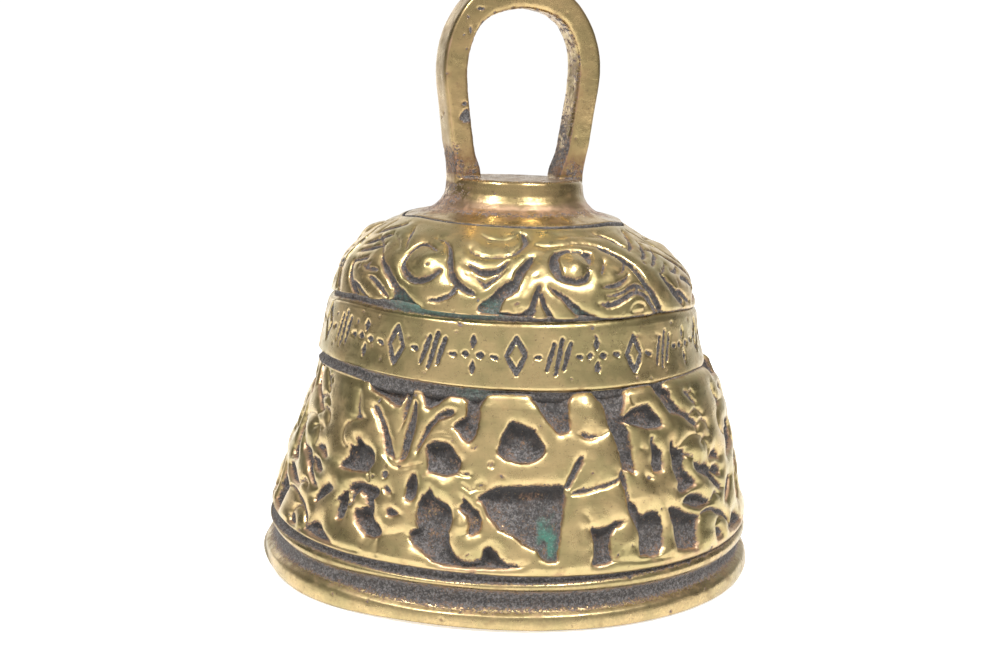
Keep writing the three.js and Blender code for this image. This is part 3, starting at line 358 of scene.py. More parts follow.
def cut(iw, jj, sd, depth, wall, soften=True):
    """sd is the signed distance to the outline, negative inside."""
    h = -depth * (1 - smoothstep(-wall, 0.10, sd))
    sl = np.ix_(iw, jj)
    REC[sl] = np.minimum(REC[sl], h)
    if soften:
        DIST[sl] = np.minimum(DIST[sl], sd + 0.75 * max(0.0, 1.0 - depth))


def pocket(depth, pts, turn):
    a = [p[0] + turn for p in pts]
    z = [p[1] for p in pts]
    w = window(a, z, 5.2)
    if w is None:
        return
    ii, jj = w
    c = 0.5 * (min(a) + max(a))
    iw, d, k, s = local(ii, jj, c)
    x, y = d * k, s
    # outline in mm: each corner uses the mm-per-degree of its own height
    sz = s_of_z(np.array(z))
    kk = np.interp(sz, S, PR) * math.pi / 180
    px, py = (np.array(a) - c) * kk, sz
    best = np.full(x.shape, 1e9)
    inside = np.zeros(x.shape, bool)
    n = len(px)
    for e in range(n):
        x0, y0, x1, y1 = px[e], py[e], px[(e + 1) % n], py[(e + 1) % n]
        vx, vy = x1 - x0, y1 - y0
        t = np.clip(((x - x0) * vx + (y - y0) * vy) / (vx * vx + vy * vy + 1e-12), 0, 1)
        best = np.minimum(best, (x - x0 - t * vx) ** 2 + (y - y0 - t * vy) ** 2)
        cross = ((y0 > y) != (y1 > y)) & (x < (x1 - x0) * (y - y0) / (y1 - y0 + 1e-12) + x0)
        inside ^= cross
    sd = np.sqrt(best) * np.where(inside, -1, 1)
    cut(iw, jj, sd, depth, 0.62)


def groove(depth, pts, turn, wall=0.30):
    q = np.array(pts, float)
    q[:, 0] += turn
    q = catmull(q, 0.9) if len(q) > 2 else q
    w = window(list(q[:, 0]), list(q[:, 1]), 4.6)
    if w is None:
        return
    ii, jj = w
    c = 0.5 * (q[:, 0].min() + q[:, 0].max())
    iw, d, k, s = local(ii, jj, c)
    x, y = d * k, s
    sz = s_of_z(q[:, 1])
    kk = np.interp(sz, S, PR) * math.pi / 180
    px, py, pw = (q[:, 0] - c) * kk, sz, q[:, 2] / 2
    best = np.full(x.shape, 1e9)
    for e in range(len(px) - 1):
        vx, vy = px[e + 1] - px[e], py[e + 1] - py[e]
        t = np.clip(((x - px[e]) * vx + (y - py[e]) * vy) / (vx * vx + vy * vy + 1e-12), 0, 1)
        best = np.minimum(best, np.hypot(x - px[e] - t * vx, y - py[e] - t * vy) - (pw[e] + t * (pw[e + 1] - pw[e])))
    cut(iw, jj, best, depth, wall)


DOTS = [d for d in DOTS if d[3] < 0 or d[2] > 0.52]
for turn in TURNS:
    for depth, pts in POCKETS:
        pocket(depth, pts, turn)
    for depth, pts in GROOVES:
        groove(depth, pts, turn)
    for a, z, r, depth in DOTS:
        w = window([a + turn], [z], r * 2.2 + 4.0)
        if w is None:
            continue
        ii, jj = w
        iw, d, k, s = local(ii, jj, a + turn)
        dist = np.hypot(d * k, s - s_of_z(z))
        if depth > 0:
            cut(iw, jj, dist - r, depth, 0.2, False)
        else:
            BOSS[np.ix_(iw, jj)] = np.maximum(BOSS[np.ix_(iw, jj)], -depth * np.exp(-(dist / r) ** 2 * 1.2))
FIG_REC, FIG_DIST = REC.copy(), DIST.copy()
REC[:], DIST[:] = 0, 9.0
for depth, pts in MARKS:
    groove(depth, pts, 0.0, 0.2)
MARK_REC = REC.copy()

figured = smoothstep(8.0, 8.8, GZ) * (1 - smoothstep(31.6, 32.1, GZ)) + smoothstep(41.9, 42.5, GZ) * (1 - smoothstep(52.7, 53.2, GZ))
band = smoothstep(32.5, 32.9, GZ) * (1 - smoothstep(40.9, 41.3, GZ))
lipzone = 1 - smoothstep(7.8, 8.4, GZ)

cell = S[1] - S[0]
deg = 360.0 / NP
bx = 0.16 / (deg * 32 * math.pi / 180)
wide = 0.75 / (deg * 32 * math.pi / 180)
rec_soft = 0.62 * blur(FIG_REC, bx * 0.8, 0.13 / cell) + 0.46 * blur(FIG_REC, wide, 0.75 / cell) * smoothstep(0.0, 0.25, -FIG_REC)
rec_soft = blur(rec_soft, bx * 0.5, 0.08 / cell) * (1 - 0.32 * smoothstep(42, 43, GZ))
line_depth = -blur(FIG_REC, bx * 0.6, 0.10 / cell)
# Raised parts are rounded towards their edges like pillows.
dist_soft = blur(np.clip(FIG_DIST, 0, 4), 0.22 / (deg * 32 * math.pi / 180), 0.22 / cell)
pillow = (0.17 * (1 - np.exp(-dist_soft / 0.50)) + 0.32 * (1 - np.exp(-dist_soft / 1.2))) * (1 - 0.30 * smoothstep(42, 43, GZ)) - 0.40
floor_rough = 0.12 * ring_noise(GP, GS, 520, 0.42, 41, 2) + 0.17 * ring_noise(GP, GS, 180, 1.2, 43)
depth_mask = smoothstep(0.25, 0.9, -rec_soft)
H = figured * (rec_soft + pillow + BOSS + depth_mask * floor_rough)
mark_soft = blur(MARK_REC, 0.07 / (deg * 29 * math.pi / 180), 0.10 / cell)
H += band * (mark_soft + 0.05 * ring_noise(GP, GS, 36, 6.0, 51, 2))
# the wall is not truly round or even: waist stands proud of the band to the right
H += SHIFT
H += 0.12 * ring_noise(GP, GS, 9, 12.0, 61, 2) * smoothstep(8, 10, GZ)
H += 0.022 * ring_noise(GP, GS, 44, 4.5, 67, 2)
# lip: hammered and filed, with a few nicks
H += lipzone * (0.05 * ring_noise(GP, GS, 40, 2.0, 71, 2))
groove_floor = np.exp(-((GZ - 4.3) / 1.0) ** 2) + np.exp(-((GZ - 7.45) / 0.38) ** 2) + np.exp(-((GZ - 32.0) / 0.36) ** 2) + np.exp(-((GZ - 41.9) / 0.36) ** 2)
H += 0.05 * np.clip(groove_floor, 0, 1) * ring_noise(GP, GS, 420, 0.5, 73, 2)
# pits and nicks
PIT = np.zeros((NP, NR))
for _ in range(420):
    a, z = rng.uniform(-180, 180), rng.uniform(0.8, 52.5)
    r, dep = rng.uniform(.12, .32), rng.uniform(.05, .16)
    w = window([a], [z], r * 3)
    if w is None:
        continue
    ii, jj = w
    iw, d, k, s = local(ii, jj, a)
    ang, ecc = rng.uniform(0, math.pi), rng.uniform(1, 2.2)
    x, y = d * k, s - s_of_z(z)
    u, v = x * math.cos(ang) + y * math.sin(ang), -x * math.sin(ang) + y * math.cos(ang)
    g = np.exp(-((u / ecc) ** 2 + v ** 2) / r ** 2)
    PIT[np.ix_(iw, jj)] = np.maximum(PIT[np.ix_(iw, jj)], g * dep)
H -= PIT

# masks for the materials
CAV_DIRT_AND_SHADE = figured * smoothstep(0.06, 0.50, line_depth) * (0.74 + 0.26 * ring_noise(GP, GS, 150, 1.5, 47, 2)) + band * smoothstep(0.08, 0.26, -mark_soft)
grit = ring_noise(GP, GS, 420, 0.5, 79, 2)
cav_mould = (0.84 + 0.10 * grit) * np.exp(-np.abs((GZ - 4.25) / 1.38) ** 3) + (0.86 + 0.12 * grit) * np.exp(-((GZ - 7.30) / 0.60) ** 4) + 0.85 * np.exp(-((GZ - 32.0) / 0.30) ** 4) + 0.85 * np.exp(-((GZ - 41.98) / 0.30) ** 4) + 0.85 * (GR < 17.0) * (GZ > 50)
CAV_DIRT_AND_SHADE = np.clip(np.maximum(CAV_DIRT_AND_SHADE, cav_mould) + np.clip(PIT * 7, 0, 1) * (rng.uniform(size=(1, 1)) * 0 + 0.8), 0, 1)
# painted shade: relief slopes that face down are darkened too, for the shade under the raised parts; the rest of this
# mask is patina and dirt in recesses, grooves and pits
faces_down = np.gradient(blur(H - SHIFT, bx * 0.6, 0.10 / cell), axis=1) / cell
CAV_DIRT_AND_SHADE = np.clip(CAV_DIRT_AND_SHADE + 0.42 * figured * smoothstep(0.15, 0.8, faces_down), 0, 1)
# painted shade: pocket floors darker just under their upper rim and lighter towards their lower rim, from the recess
# 1.3 mm above against 1 mm below
up_n, dn_n = int(1.3 / cell), int(1.0 / cell)
above, below = np.zeros_like(FIG_REC), np.zeros_like(FIG_REC)
above[:, :-up_n] = FIG_REC[:, up_n:]
below[:, dn_n:] = FIG_REC[:, :-dn_n]
SHADE = blur(np.clip(0.45 + 0.45 * (above - below), 0, 1), bx * 3, 0.5 / cell) * figured
# pink edge tint: rubbed metal on the cut edges and moulding rims, plus painted highlight on rims and slopes that face
# up, where light from above catches them
FACE_UP_HIGHLIGHT = figured * smoothstep(0.15, 0.8, -faces_down)
EDGE_RUB_AND_HIGHLIGHT = figured * np.exp(-np.clip(FIG_DIST, 0, 9) / 0.30) + np.exp(-((GZ - 2.6) / 0.35) ** 2) + np.exp(-((GZ - 8.2) / 0.35) ** 2) + np.exp(-((GZ - 31.2) / 0.3) ** 2)
EDGE_RUB_AND_HIGHLIGHT = np.clip(EDGE_RUB_AND_HIGHLIGHT * (0.55 + 0.45 * FACE_UP_HIGHLIGHT) + 0.25 * FACE_UP_HIGHLIGHT, 0, 1)


def patch(a, z, ra, rz):
    d = ((GP - a + 180) % 360 - 180)
    return np.exp(-((d / ra) ** 2 + ((GZ - z) / rz) ** 2))


VERD = np.zeros((NP, NR))
for turn, gain in ((0.0, 1.0), (120.0, 0.55), (240.0, 0.7)):
    VERD += gain * (0.85 * patch(-33 + turn, 43.6, 12, 1.7) + 0.85 * patch(-5 + turn, 43.8, 8, 1.9) + 0.9 * patch(-20 + turn, 42.1, 17, .7)
                    + 0.75 * patch(20 + turn, 43.0, 8, 1.3) + 1.45 * patch(10.6 + turn, 13.0, 3.2, 3.4) * (0.75 + 0.85 * ring_noise(GP, GS, 300, 0.8, 87, 2)) + 0.7 * patch(-8 + turn, 32.1, 14, .7)
                    + 0.5 * patch(0 + turn, 46.8, 4, 1.6) + 0.35 * patch(9 + turn, 44.0, 3, 1.5) + 0.3 * patch(-58 + turn, 12.0, 6, 4))
VERD = np.clip(0.8 * VERD + 0.12 * ring_noise(GP, GS, 30, 5, 83, 2), 0, 1)

# ------------------------------------------------------------------ build the bell's mesh
tilt = -0.30 * np.sin(np.radians(GP)) * np.exp(-((GZ - 37.5) / 7.5) ** 2)
RR = GR + H * NRM_R[None, :]
ZZ = GZ + H * NRM_Z[None, :] + tilt - SINK
ZZ = np.maximum(ZZ, 0.0)
RR[:, 0] = PR[0]
# no pocket leaves less than 0.8 mm of wall
in_z, in_r = np.array([q[1] for q in INSIDE[:14]][::-1]), np.array([q[0] for q in INSIDE[:14]][::-1])
RR = np.where((ZZ > 1.5) & (ZZ < 46.5), np.maximum(RR, np.interp(ZZ, in_z, in_r) + 0.8), RR)
az = np.radians(PHI + FRONT)
cx, cy = np.sin(az), -np.cos(az)


def shell_rows():
    """(r, z, attrs) rows from the lip's flat ring, up the outside, over the seat and hole, and down the inside."""
    rows = []
    zero = np.zeros(NP)
    rows.append((np.full(NP, 35.9), zero.copy(), zero + .1, zero, zero, zero))
    for j in range(NR):
        rows.append((RR[:, j], ZZ[:, j], CAV_DIRT_AND_SHADE[:, j], EDGE_RUB_AND_HIGHLIGHT[:, j], VERD[:, j], SHADE[:, j]))
    one = zero + 0.9
    for r, z in [(SEAT_R, 51.7), (SEAT_R, SEAT_Z + .1), (SEAT_R - .15, SEAT_Z), (9.0, SEAT_Z), (CROWN_HOLE_R + .2, SEAT_Z), (CROWN_HOLE_R, SEAT_Z - .2), (CROWN_HOLE_R, CROWN_UNDER_Z + .2), (CROWN_HOLE_R + .2, CROWN_UNDER_Z), (8.0, CROWN_UNDER_Z)]:
        rows.append((zero + r, zero + z, one, zero, zero, zero))
    ins = catmull(INSIDE, 0.9)
    for k, (r, z) in enumerate(ins):
        wob = 0.10 * ring_noise(PHI, zero + z, 40, 3.0, 97, 2) + 0.05 * ring_noise(PHI, zero + z, 160, 1.2, 99)
        if z < 1.0 or z > 49.2:
            wob = wob * 0.2
        # the inside darkens towards the crown; through the shade attribute this is painted shade
        dark = 0.35 + 0.45 * (z / 50.0) + 0.25 * ring_noise(PHI, zero + z, 24, 7.0, 101, 2)
        rows.append((r + wob, zero + z if z > 0 else zero, np.clip(dark, 0, 1), zero, zero, np.clip(dark - .3, 0, 1)))
    return rows


rows = shell_rows()
M = len(rows)
co = np.zeros((M, NP, 3))
attr = np.zeros((4, M, NP))
for k, (r, z, c, e, v, sh) in enumerate(rows):
    co[k, :, 0], co[k, :, 1], co[k, :, 2] = r * cx * MM, r * cy * MM, z * MM
    attr[0, k], attr[1, k], attr[2, k], attr[3, k] = c, e, v, sh


def grid_mesh(name, co, wrap_rows=True):
    m, n = co.shape[:2]
    me = bpy.data.meshes.new(name)
    ii = np.arange(m if wrap_rows else m - 1)
    jj = np.arange(n)
    I, J = np.meshgrid(ii, jj, indexing="ij")
    I1, J1 = (I + 1) % m, (J + 1) % n
    faces = np.stack([I * n + J, I * n + J1, I1 * n + J1, I1 * n + J], -1).reshape(-1, 4)
    me.vertices.add(m * n)
    me.vertices.foreach_set("co", co.reshape(-1).astype(np.float32))
    me.loops.add(faces.size)
    me.loops.foreach_set("vertex_index", faces.reshape(-1).astype(np.int32))
    me.polygons.add(len(faces))
    me.polygons.foreach_set("loop_start", np.arange(0, faces.size, 4, dtype=np.int32))
    me.update(calc_edges=True)
    me.validate()
    me.shade_smooth()
    return me, faces, I.reshape(-1), J.reshape(-1)


me, faces, FI, FJ = grid_mesh("bell_casting", co)
for k, nm in enumerate(("cav", "edge", "verd", "shade")):
    at = me.attributes.new(nm, "FLOAT", "POINT")
    at.data.foreach_set("value", attr[k].reshape(-1).astype(np.float32))
dull = np.zeros((M, NP))
dull[1:NR + 1] = (0.62 * lipzone * (0.72 + 0.28 * ring_noise(GP, GS, 26, 2.5, 91, 2)) + 0.22 * band * (0.5 + 0.5 * ring_noise(GP, GS, 18, 6.0, 93, 2))).T
at = me.attributes.new("dull", "FLOAT", "POINT")
at.data.foreach_set("value", np.clip(dull, 0, 1).reshape(-1).astype(np.float32))
# A tidy unwrap: the outside in four quarters, the rest in a strip below.
uv = me.uv_layers.new(name="OFBake")
arc = np.concatenate([[0], np.cumsum(np.hypot(np.diff([np.mean(r[0]) for r in rows]), np.diff([np.mean(r[1]) for r in rows])))])
uvs = np.zeros((len(faces), 4, 2))
last_out = 1 + NR
quarter = FJ * 4 // NP
for c, (di, dj) in enumerate(((0, 0), (0, 1), (1, 1), (1, 0))):
    row = FI + di
    rowc = np.minimum(row, M - 1)
    a = arc[rowc] + np.where(row >= M, 1.6, 0.0)
    out = FI < last_out - 1
    u = (FJ + dj) / NP * 4 - quarter
    v = (a - arc[0]) / (arc[last_out] - arc[0])
    uu = (quarter % 2) * 0.5 + 0.004 + u * 0.492
    vv = 0.17 + (quarter // 2) * 0.415 + 0.004 + v * 0.405
    vi = (a - arc[last_out - 1]) / (arc[-1] + 1.6 - arc[last_out - 1])
    ui = 0.004 + (FJ + dj) / NP * 0.992
    uvs[:, c, 0] = np.where(out, uu, ui)
    uvs[:, c, 1] = np.where(out, vv, 0.004 + vi * 0.155)
uv.data.foreach_set("uv", uvs.reshape(-1).astype(np.float32))
bell = bpy.data.objects.new("bell_casting", me)
bpy.context.scene.collection.objects.link(bell)
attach(bell, "bell")
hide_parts("bell_body")

# ------------------------------------------------------------------ handle: foot, coved neck, collar and strap loop in one casting
FOOT = [
    [2.05, 57.5], [2.05, 51.15], [2.2, 51.05], [16.4, 51.05], [16.6, 51.2], [16.62, 53.3], [16.5, 53.52], [16.25, 53.62], [15.9, 53.68],
    [14.8, 53.92], [13.2, 54.4], [12.1, 55.1], [11.2, 56.0], [10.62, 57.0], [10.44, 57.7], [10.38, 58.3], [10.24, 58.75], [9.95, 59.05], [9.4, 59.2], [8.0, 59.15], [0.0, 59.15],
]
LOOP_OUTER = [
    [10.35, 57.0], [10.35, 59.9], [10.6, 62.7], [11.05, 65.9], [11.6, 70.0], [12.1, 73.4], [12.1, 76.2],
    [11.55, 79.1], [10.4, 82.0], [8.35, 84.9], [5.6, 87.1], [2.8, 88.2],
]
LOOP_INNER = [
    [5.9, 57.0], [6.15, 60.0], [6.9, 62.7], [7.4, 65.7], [8.0, 69.5], [8.45, 73.2], [8.45, 75.8],
    [8.0, 78.2], [6.8, 80.9], [5.0, 82.5], [2.6, 83.4],
]
EYE_R, EYE_WIRE, EYE_Z = 3.0, 1.1, 41.9


def object_from(name, me):
    ob = bpy.data.objects.new(name, me)
    bpy.context.scene.collection.objects.link(ob)
    return ob


def lathe_mesh(name, profile, seg):
    """Closed turned mesh about Z; profile [r, z] in mm runs from axis to axis, or closes on itself."""
    p = np.asarray(profile, float)
    bm = bmesh.new()
    on_axis = abs(p[0, 0]) < 1e-9
    rings = []
    for r, z in p:
        if r < 1e-9:
            rings.append([bm.verts.new((0, 0, z * MM))])
        else:
            rings.append([bm.verts.new((r * MM * math.cos(2 * math.pi * k / seg), r * MM * math.sin(2 * math.pi * k / seg), z * MM)) for k in range(seg)])
    pairs = list(zip(rings, rings[1:])) + ([] if on_axis else [(rings[-1], rings[0])])
    for a, b in pairs:
        for k in range(seg):
            l = (k + 1) % seg
            q = [a[k % len(a)], a[l % len(a)], b[l % len(b)], b[k % len(b)]]
            u = []
            for v in q:
                if v not in u:
                    u.append(v)
            if len(u) > 2:
                bm.faces.new(u)
    bmesh.ops.recalc_face_normals(bm, faces=bm.faces)
    me = bpy.data.meshes.new(name)
    bm.to_mesh(me)
    bm.free()
    me.shade_smooth()
    return me


def sweep_closed(name, centres, normals, radius, sides):
    """Round wire along a closed path; normals is a fixed side direction."""
    c = np.asarray(centres, float)
    n = len(c)
    t = np.roll(c, -1, 0) - np.roll(c, 1, 0)
    t /= np.linalg.norm(t, axis=1)[:, None]
    side = np.repeat(np.asarray(normals, float)[None, :], n, 0)
    out = np.cross(side, t)
    a = 2 * math.pi * np.arange(sides) / sides
    co = c[:, None, :] + radius * (np.cos(a)[None, :, None] * out[:, None, :] + np.sin(a)[None, :, None] * side[:, None, :])
    me, _, _, _ = grid_mesh(name, co * MM)
    bm = bmesh.new()
    bm.from_mesh(me)
    bmesh.ops.recalc_face_normals(bm, faces=bm.faces)
    bm.to_mesh(me)
    bm.free()
    return me


def join(name, *meshes):
    bm = bmesh.new()
    for m in meshes:
        bm.from_mesh(m)
    me = bpy.data.meshes.new(name)
    bm.to_mesh(me)
    bm.free()
    me.shade_smooth()
    return me


def fuse(ob, voxel, smooth):
    """One watertight skin over overlapping solids, with the corners where they meet eased."""
    bpy.context.view_layer.objects.active = ob
    for o in bpy.context.selected_objects:
        o.select_set(False)
    ob.select_set(True)
    ob.data.remesh_voxel_size = voxel * MM
    ob.data.use_remesh_fix_poles = False
    ob.data.remesh_voxel_adaptivity = 0.0
    bpy.ops.object.voxel_remesh()
    if smooth:
        md = ob.modifiers.new("ease", "SMOOTH")
        md.factor, md.iterations = 0.5, smooth
        bpy.ops.object.modifier_apply(modifier=md.name)
    ob.data.shade_smooth()
    ob.select_set(False)


def coords(me):
    a = np.zeros(len(me.vertices) * 3, np.float32)
    me.vertices.foreach_get("co", a)
    return a.reshape(-1, 3).astype(float)


def normals_of(me):
    a = np.zeros(len(me.vertices) * 3, np.float32)
    me.vertices.foreach_get("normal", a)
    return a.reshape(-1, 3).astype(float)


def put_coords(me, co):
    me.vertices.foreach_set("co", co.reshape(-1).astype(np.float32))
    me.update()


def put_attr(me, name, values):
    at = me.attributes.get(name) or me.attributes.new(name, "FLOAT", "POINT")
    at.data.foreach_set("value", np.asarray(values, np.float32))


def cloud(co_mm, scale, seed, octaves=2):
    """Smooth 3-D noise at each point, -1..1; scale is the feature size in mm."""
    off = Vector((seed * 7.31, seed * 3.17, seed * 5.73))
    f = mnoise.noise
    out = np.empty(len(co_mm))
    inv = 1.0 / scale
    for i, (x, y, z) in enumerate((co_mm * inv).tolist()):
        v = Vector((x, y, z)) + off
        s = f(v)
        if octaves > 1:
            s += 0.5 * f(v * 2.03)
        out[i] = s
    return np.clip(out * 1.3, -1, 1)


def loop_side(points, apex):
    right = [list(p) for p in points] + [[0.0, apex]]
    left = [[-x, z] for x, z in reversed(points)]
    return catmull(right + left, 0.25)


NL = 260
outer = resample(loop_side(LOOP_OUTER, 88.5), NL)
inner = resample(loop_side(LOOP_INNER, 83.8), NL)
AR = 44
th = 2 * math.pi * np.arange(AR) / AR
ex = 2 / 6.0
cu = np.sign(np.cos(th)) * np.abs(np.cos(th)) ** ex
cv = np.sign(np.sin(th)) * np.abs(np.sin(th)) ** ex
mid, half = (outer + inner) / 2, (outer - inner) / 2
depth = 2.70 + 0.08 * np.sin(np.linspace(0, 9, NL)) - 0.10 * np.exp(-((np.linspace(0, 1, NL) - .5) / .12) ** 2)
lc = np.zeros((NL, AR, 3))
lc[:, :, 0] = mid[:, 0:1] + half[:, 0:1] * cu[None, :]
lc[:, :, 2] = mid[:, 1:2] + half[:, 1:2] * cu[None, :]
lc[:, :, 1] = depth[:, None] * cv[None, :]
bm = bmesh.new()
vs = [[bm.verts.new(Vector(p) * MM) for p in ring] for ring in lc]
for a, b in zip(vs, vs[1:]):
    for k in range(AR):
        bm.faces.new([a[k], a[(k + 1) % AR], b[(k + 1) % AR], b[k]])
bm.faces.new(vs[0])
bm.faces.new(list(reversed(vs[-1])))
bmesh.ops.recalc_face_normals(bm, faces=bm.faces)
strap = bpy.data.meshes.new("strap")
bm.to_mesh(strap)
bm.free()
foot = lathe_mesh("foot", [[0, 57.5]] + FOOT, 160)
handle = object_from("handle_casting", join("handle_casting", strap, foot))
fuse(handle, 0.20, 3)

hc = coords(handle.data) / MM
hn = normals_of(handle.data)
hx, hy, hz = hc.T
hr = np.hypot(hx, hy)
loopm = smoothstep(59.2, 60.2, hz)
# angle from the middle of the figured front, of each point on the foot and collar
ha = (np.degrees(np.arctan2(hx, -hy)) - FRONT + 180) % 360 - 180
big = cloud(hc, 9.0, 1)
midn = cloud(hc, 2.2, 2)
fine = cloud(hc, 0.7, 3)
tiny = cloud(hc, 0.38, 5)
filed = cloud(hc * np.array([1, 0.22, 1]), 0.40, 6)
disp = 0.06 * big * loopm + 0.018 * midn + 0.008 * fine
inner_face = smoothstep(0.35, 0.75, -(hn[:, 0] * np.sign(hx)) * (hz < 80) + np.where(hz >= 80, -(hn[:, 0] * hx + hn[:, 2] * (hz - 75)) / np.maximum(np.hypot(hx, hz - 75), 1e-3), 0)) * loopm
outer_left = smoothstep(0.2, 0.7, -hn[:, 0]) * (hx < -6) * loopm
front = smoothstep(0.4, 0.85, -hn[:, 1]) * loopm
disp += inner_face * (0.015 * filed + 0.03 * midn)


def blob(x, z, rx, rz, where):
    return where * np.exp(-(((hx - x) / rx) ** 2 + ((hz - z) / rz) ** 2))


dent = np.clip(1.25 * blob(-8.6, 68.3, 1.0, .85, front) * smoothstep(-0.1, 0.25, hx + 10.1 - 0.75 * np.abs(hz - 67.9)) + 0.8 * blob(-9.0, 70.0, .42, .26, front) + 0.8 * blob(-6.7, 83.7, .55, .22, front) + 0.7 * blob(-8.3, 80.6, .22, .6, front), 0, 1)
disp -= 0.32 * dent
rough_patch = blob(-10.2, 62.2, 1.1, 2.3, np.clip(front + outer_left, 0, 1)) * loopm
disp -= 0.14 * rough_patch * (0.5 + 0.5 * fine)
pits = np.zeros(len(hc))
for _ in range(150):
    i = rng.randint(len(hc))
    c0, r0 = hc[i], rng.uniform(.16, .38)
    if c0[2] < 59.3 and rng.uniform() < 0.8:
        continue
    d2 = ((hc - c0) ** 2).sum(1)
    near = d2 < (3 * r0) ** 2
    g = np.exp(-d2[near] / r0 ** 2)
    pits[near] = np.maximum(pits[near], g * rng.uniform(.3, 1.0))
disp -= 0.10 * pits
flat_bottom = (hz < 52.0) | (hr < 2.6)
disp = np.where(flat_bottom, 0, disp)
lean = -0.22 - 0.25 * smoothstep(76, 88, hz) + 0.50 * smoothstep(-6, 6, hx)
hc2 = hc + hn * disp[:, None]
hc2[:, 0] += lean * smoothstep(59.5, 65, hz)
flank = 1.1 * smoothstep(55, 92, np.abs(ha)) * smoothstep(52.2, 53.0, hz) * smoothstep(8, 10, hr)
away = -np.cos(np.radians(ha)) * hr
level = (0.65 + 0.0625 * away) * (1 - smoothstep(61, 78, hz))
up = smoothstep(56.6, 58.6, hz)
hc2[:, 2] -= flank * (1 - up) + level * up
put_coords(handle.data, hc2 * MM)
low = 1 - smoothstep(60, 72, hz)
cav = inner_face * (0.30 + 0.16 * midn + 0.30 * filed + 0.16 * tiny + 0.34 * low)
cav = np.maximum(cav, rough_patch * (0.50 + 0.6 * tiny) + np.clip(1.7 * dent, 0, 1.1))
cav = np.maximum(cav, (0.42 + 0.34 * tiny + 0.16 * fine) * np.exp(-((hz - 54.55) / 0.42) ** 2) * (hr > 11))
cav = np.maximum(cav, (0.46 + 0.30 * fine) * loopm * (1 - smoothstep(59.6, 64.4, hz)))
brown = np.clip(loopm * (1 - smoothstep(60.5, 65.5, hz)) + 0.25 * loopm * (hx < 0) + 0.15 * (1 - loopm) * smoothstep(54, 57, hz), 0, 1)
cav = np.maximum(cav, pits * 0.85)
left_cove = np.exp(-((ha + 72) / 42.0) ** 2) + np.exp(-((ha - 105) / 30.0) ** 2) + 0.8 * np.exp(-((np.abs(ha) - 180) / 40.0) ** 2)
cove = (1 - smoothstep(58.2, 58.9, hz)) * smoothstep(53.6, 54.2, hz)
cav = np.maximum(cav, cove * (0.42 * left_cove + (0.35 + 0.65 * np.clip(left_cove, 0, 1)) * (0.16 * fine + 0.24 * tiny + 0.12 * midn)))
cav = np.maximum(cav, 0.9 * smoothstep(16.46, 16.56, hr) * (hz < 53.6))
cav = np.maximum(cav, (np.abs(hn[:, 2]) > .8) * (hz > 58.9) * (hz < 59.6) * (0.34 + 0.12 * fine))
junction = np.exp(-((hz - 59.35) / 0.35) ** 2) * np.exp(-((np.abs(hx) - 8.1) / 2.6) ** 2) * (np.abs(hy) < 3.6)
cav = np.maximum(cav, 0.7 * junction)
# pink edge tint on the handle: along the arrises it is partly a painted highlight line, besides rubbed metal; it also
# lies on the cove and lower legs
arris = np.exp(-((np.abs(hn[:, 1]) - 0.72) / 0.16) ** 2) * loopm
edge = np.clip(0.75 * arris + 0.9 * np.exp(-((hz - 55.2) / 1.3) ** 2) * (1 - loopm) + 0.5 * loopm * (1 - smoothstep(60, 65, hz)) + 0.35 * left_cove * cove + 0.25 * np.clip(big, 0, 1) * loopm, 0, 1)
put_attr(handle.data, "cav", np.clip(cav, 0, 1))
put_attr(handle.data, "edge", edge)
put_attr(handle.data, "brown", brown)
put_attr(handle.data, "verd", np.zeros(len(hc)))
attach(handle, "bell")
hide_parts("handle")

# ------------------------------------------------------------------ eyebolt, washer, nut
SIDES = 96


def threaded(name, r, z0, z1, pitch, depth, seg=72, step=0.05):
    """Cylinder with a helical V thread, closed at both ends."""
    n = int((z1 - z0) / step) + 1
    z = np.linspace(z0, z1, n)
    a = 2 * math.pi * np.arange(seg) / seg
    Z, A = np.meshgrid(z, a, indexing="ij")
    ph = (Z / pitch - A / (2 * math.pi)) % 1.0
    rad = r - depth * np.abs(2 * ph - 1) ** 1.2 * smoothstep(0, 0.5, np.minimum(Z - z0, z1 - Z) + .12)
    rad = np.where((Z == z0) | (Z == z1), r - depth * 1.05, rad)
    bm = bmesh.new()
    rows_ = [[bm.verts.new((rad[i, k] * MM * math.cos(a[k]), rad[i, k] * MM * math.sin(a[k]), z[i] * MM)) for k in range(seg)] for i in range(n)]
    for p, q in zip(rows_, rows_[1:]):
        for k in range(seg):
            bm.faces.new([p[k], p[(k + 1) % seg], q[(k + 1) % seg], q[k]])
    bm.faces.new(list(reversed(rows_[0])))
    bm.faces.new(rows_[-1])
    bmesh.ops.recalc_face_normals(bm, faces=bm.faces)
    me = bpy.data.meshes.new(name)
    bm.to_mesh(me)
    bm.free()
    return me


ring = [[0, EYE_R * math.sin(t), EYE_Z - EYE_R * math.cos(t)] for t in 2 * math.pi * np.arange(96) / 96]
eye_ring = sweep_closed("eye_ring", ring, (1, 0, 0), EYE_WIRE, 32)
eye_neck = lathe_mesh("eye_neck", [[0, 44.3], [1.9, 44.3], [1.9, 45.6], [1.75, 45.75], [0, 45.75]], 64)
eye = object_from("eyebolt_forged", join("eyebolt_forged", eye_ring, eye_neck))
fuse(eye, 0.11, 4)
stud = threaded("stud", 1.95, 45.3, 57.1, 0.7, 0.30)
bm = bmesh.new()
bm.from_mesh(eye.data)
bm.from_mesh(stud)
bm.to_mesh(eye.data)
bm.free()
eye.data.shade_smooth()
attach(eye, "bell")
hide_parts("eyebolt")

washer = object_from("washer_turned", lathe_mesh("washer_turned", [[2.2, 48.85], [2.3, 48.76], [4.75, 48.75], [4.93, 48.83], [5.0, 49.0], [5.0, 49.45], [4.95, 49.55], [2.3, 49.55], [2.2, 49.5]], SIDES))
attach(washer, "bell")
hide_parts("crown_washer")

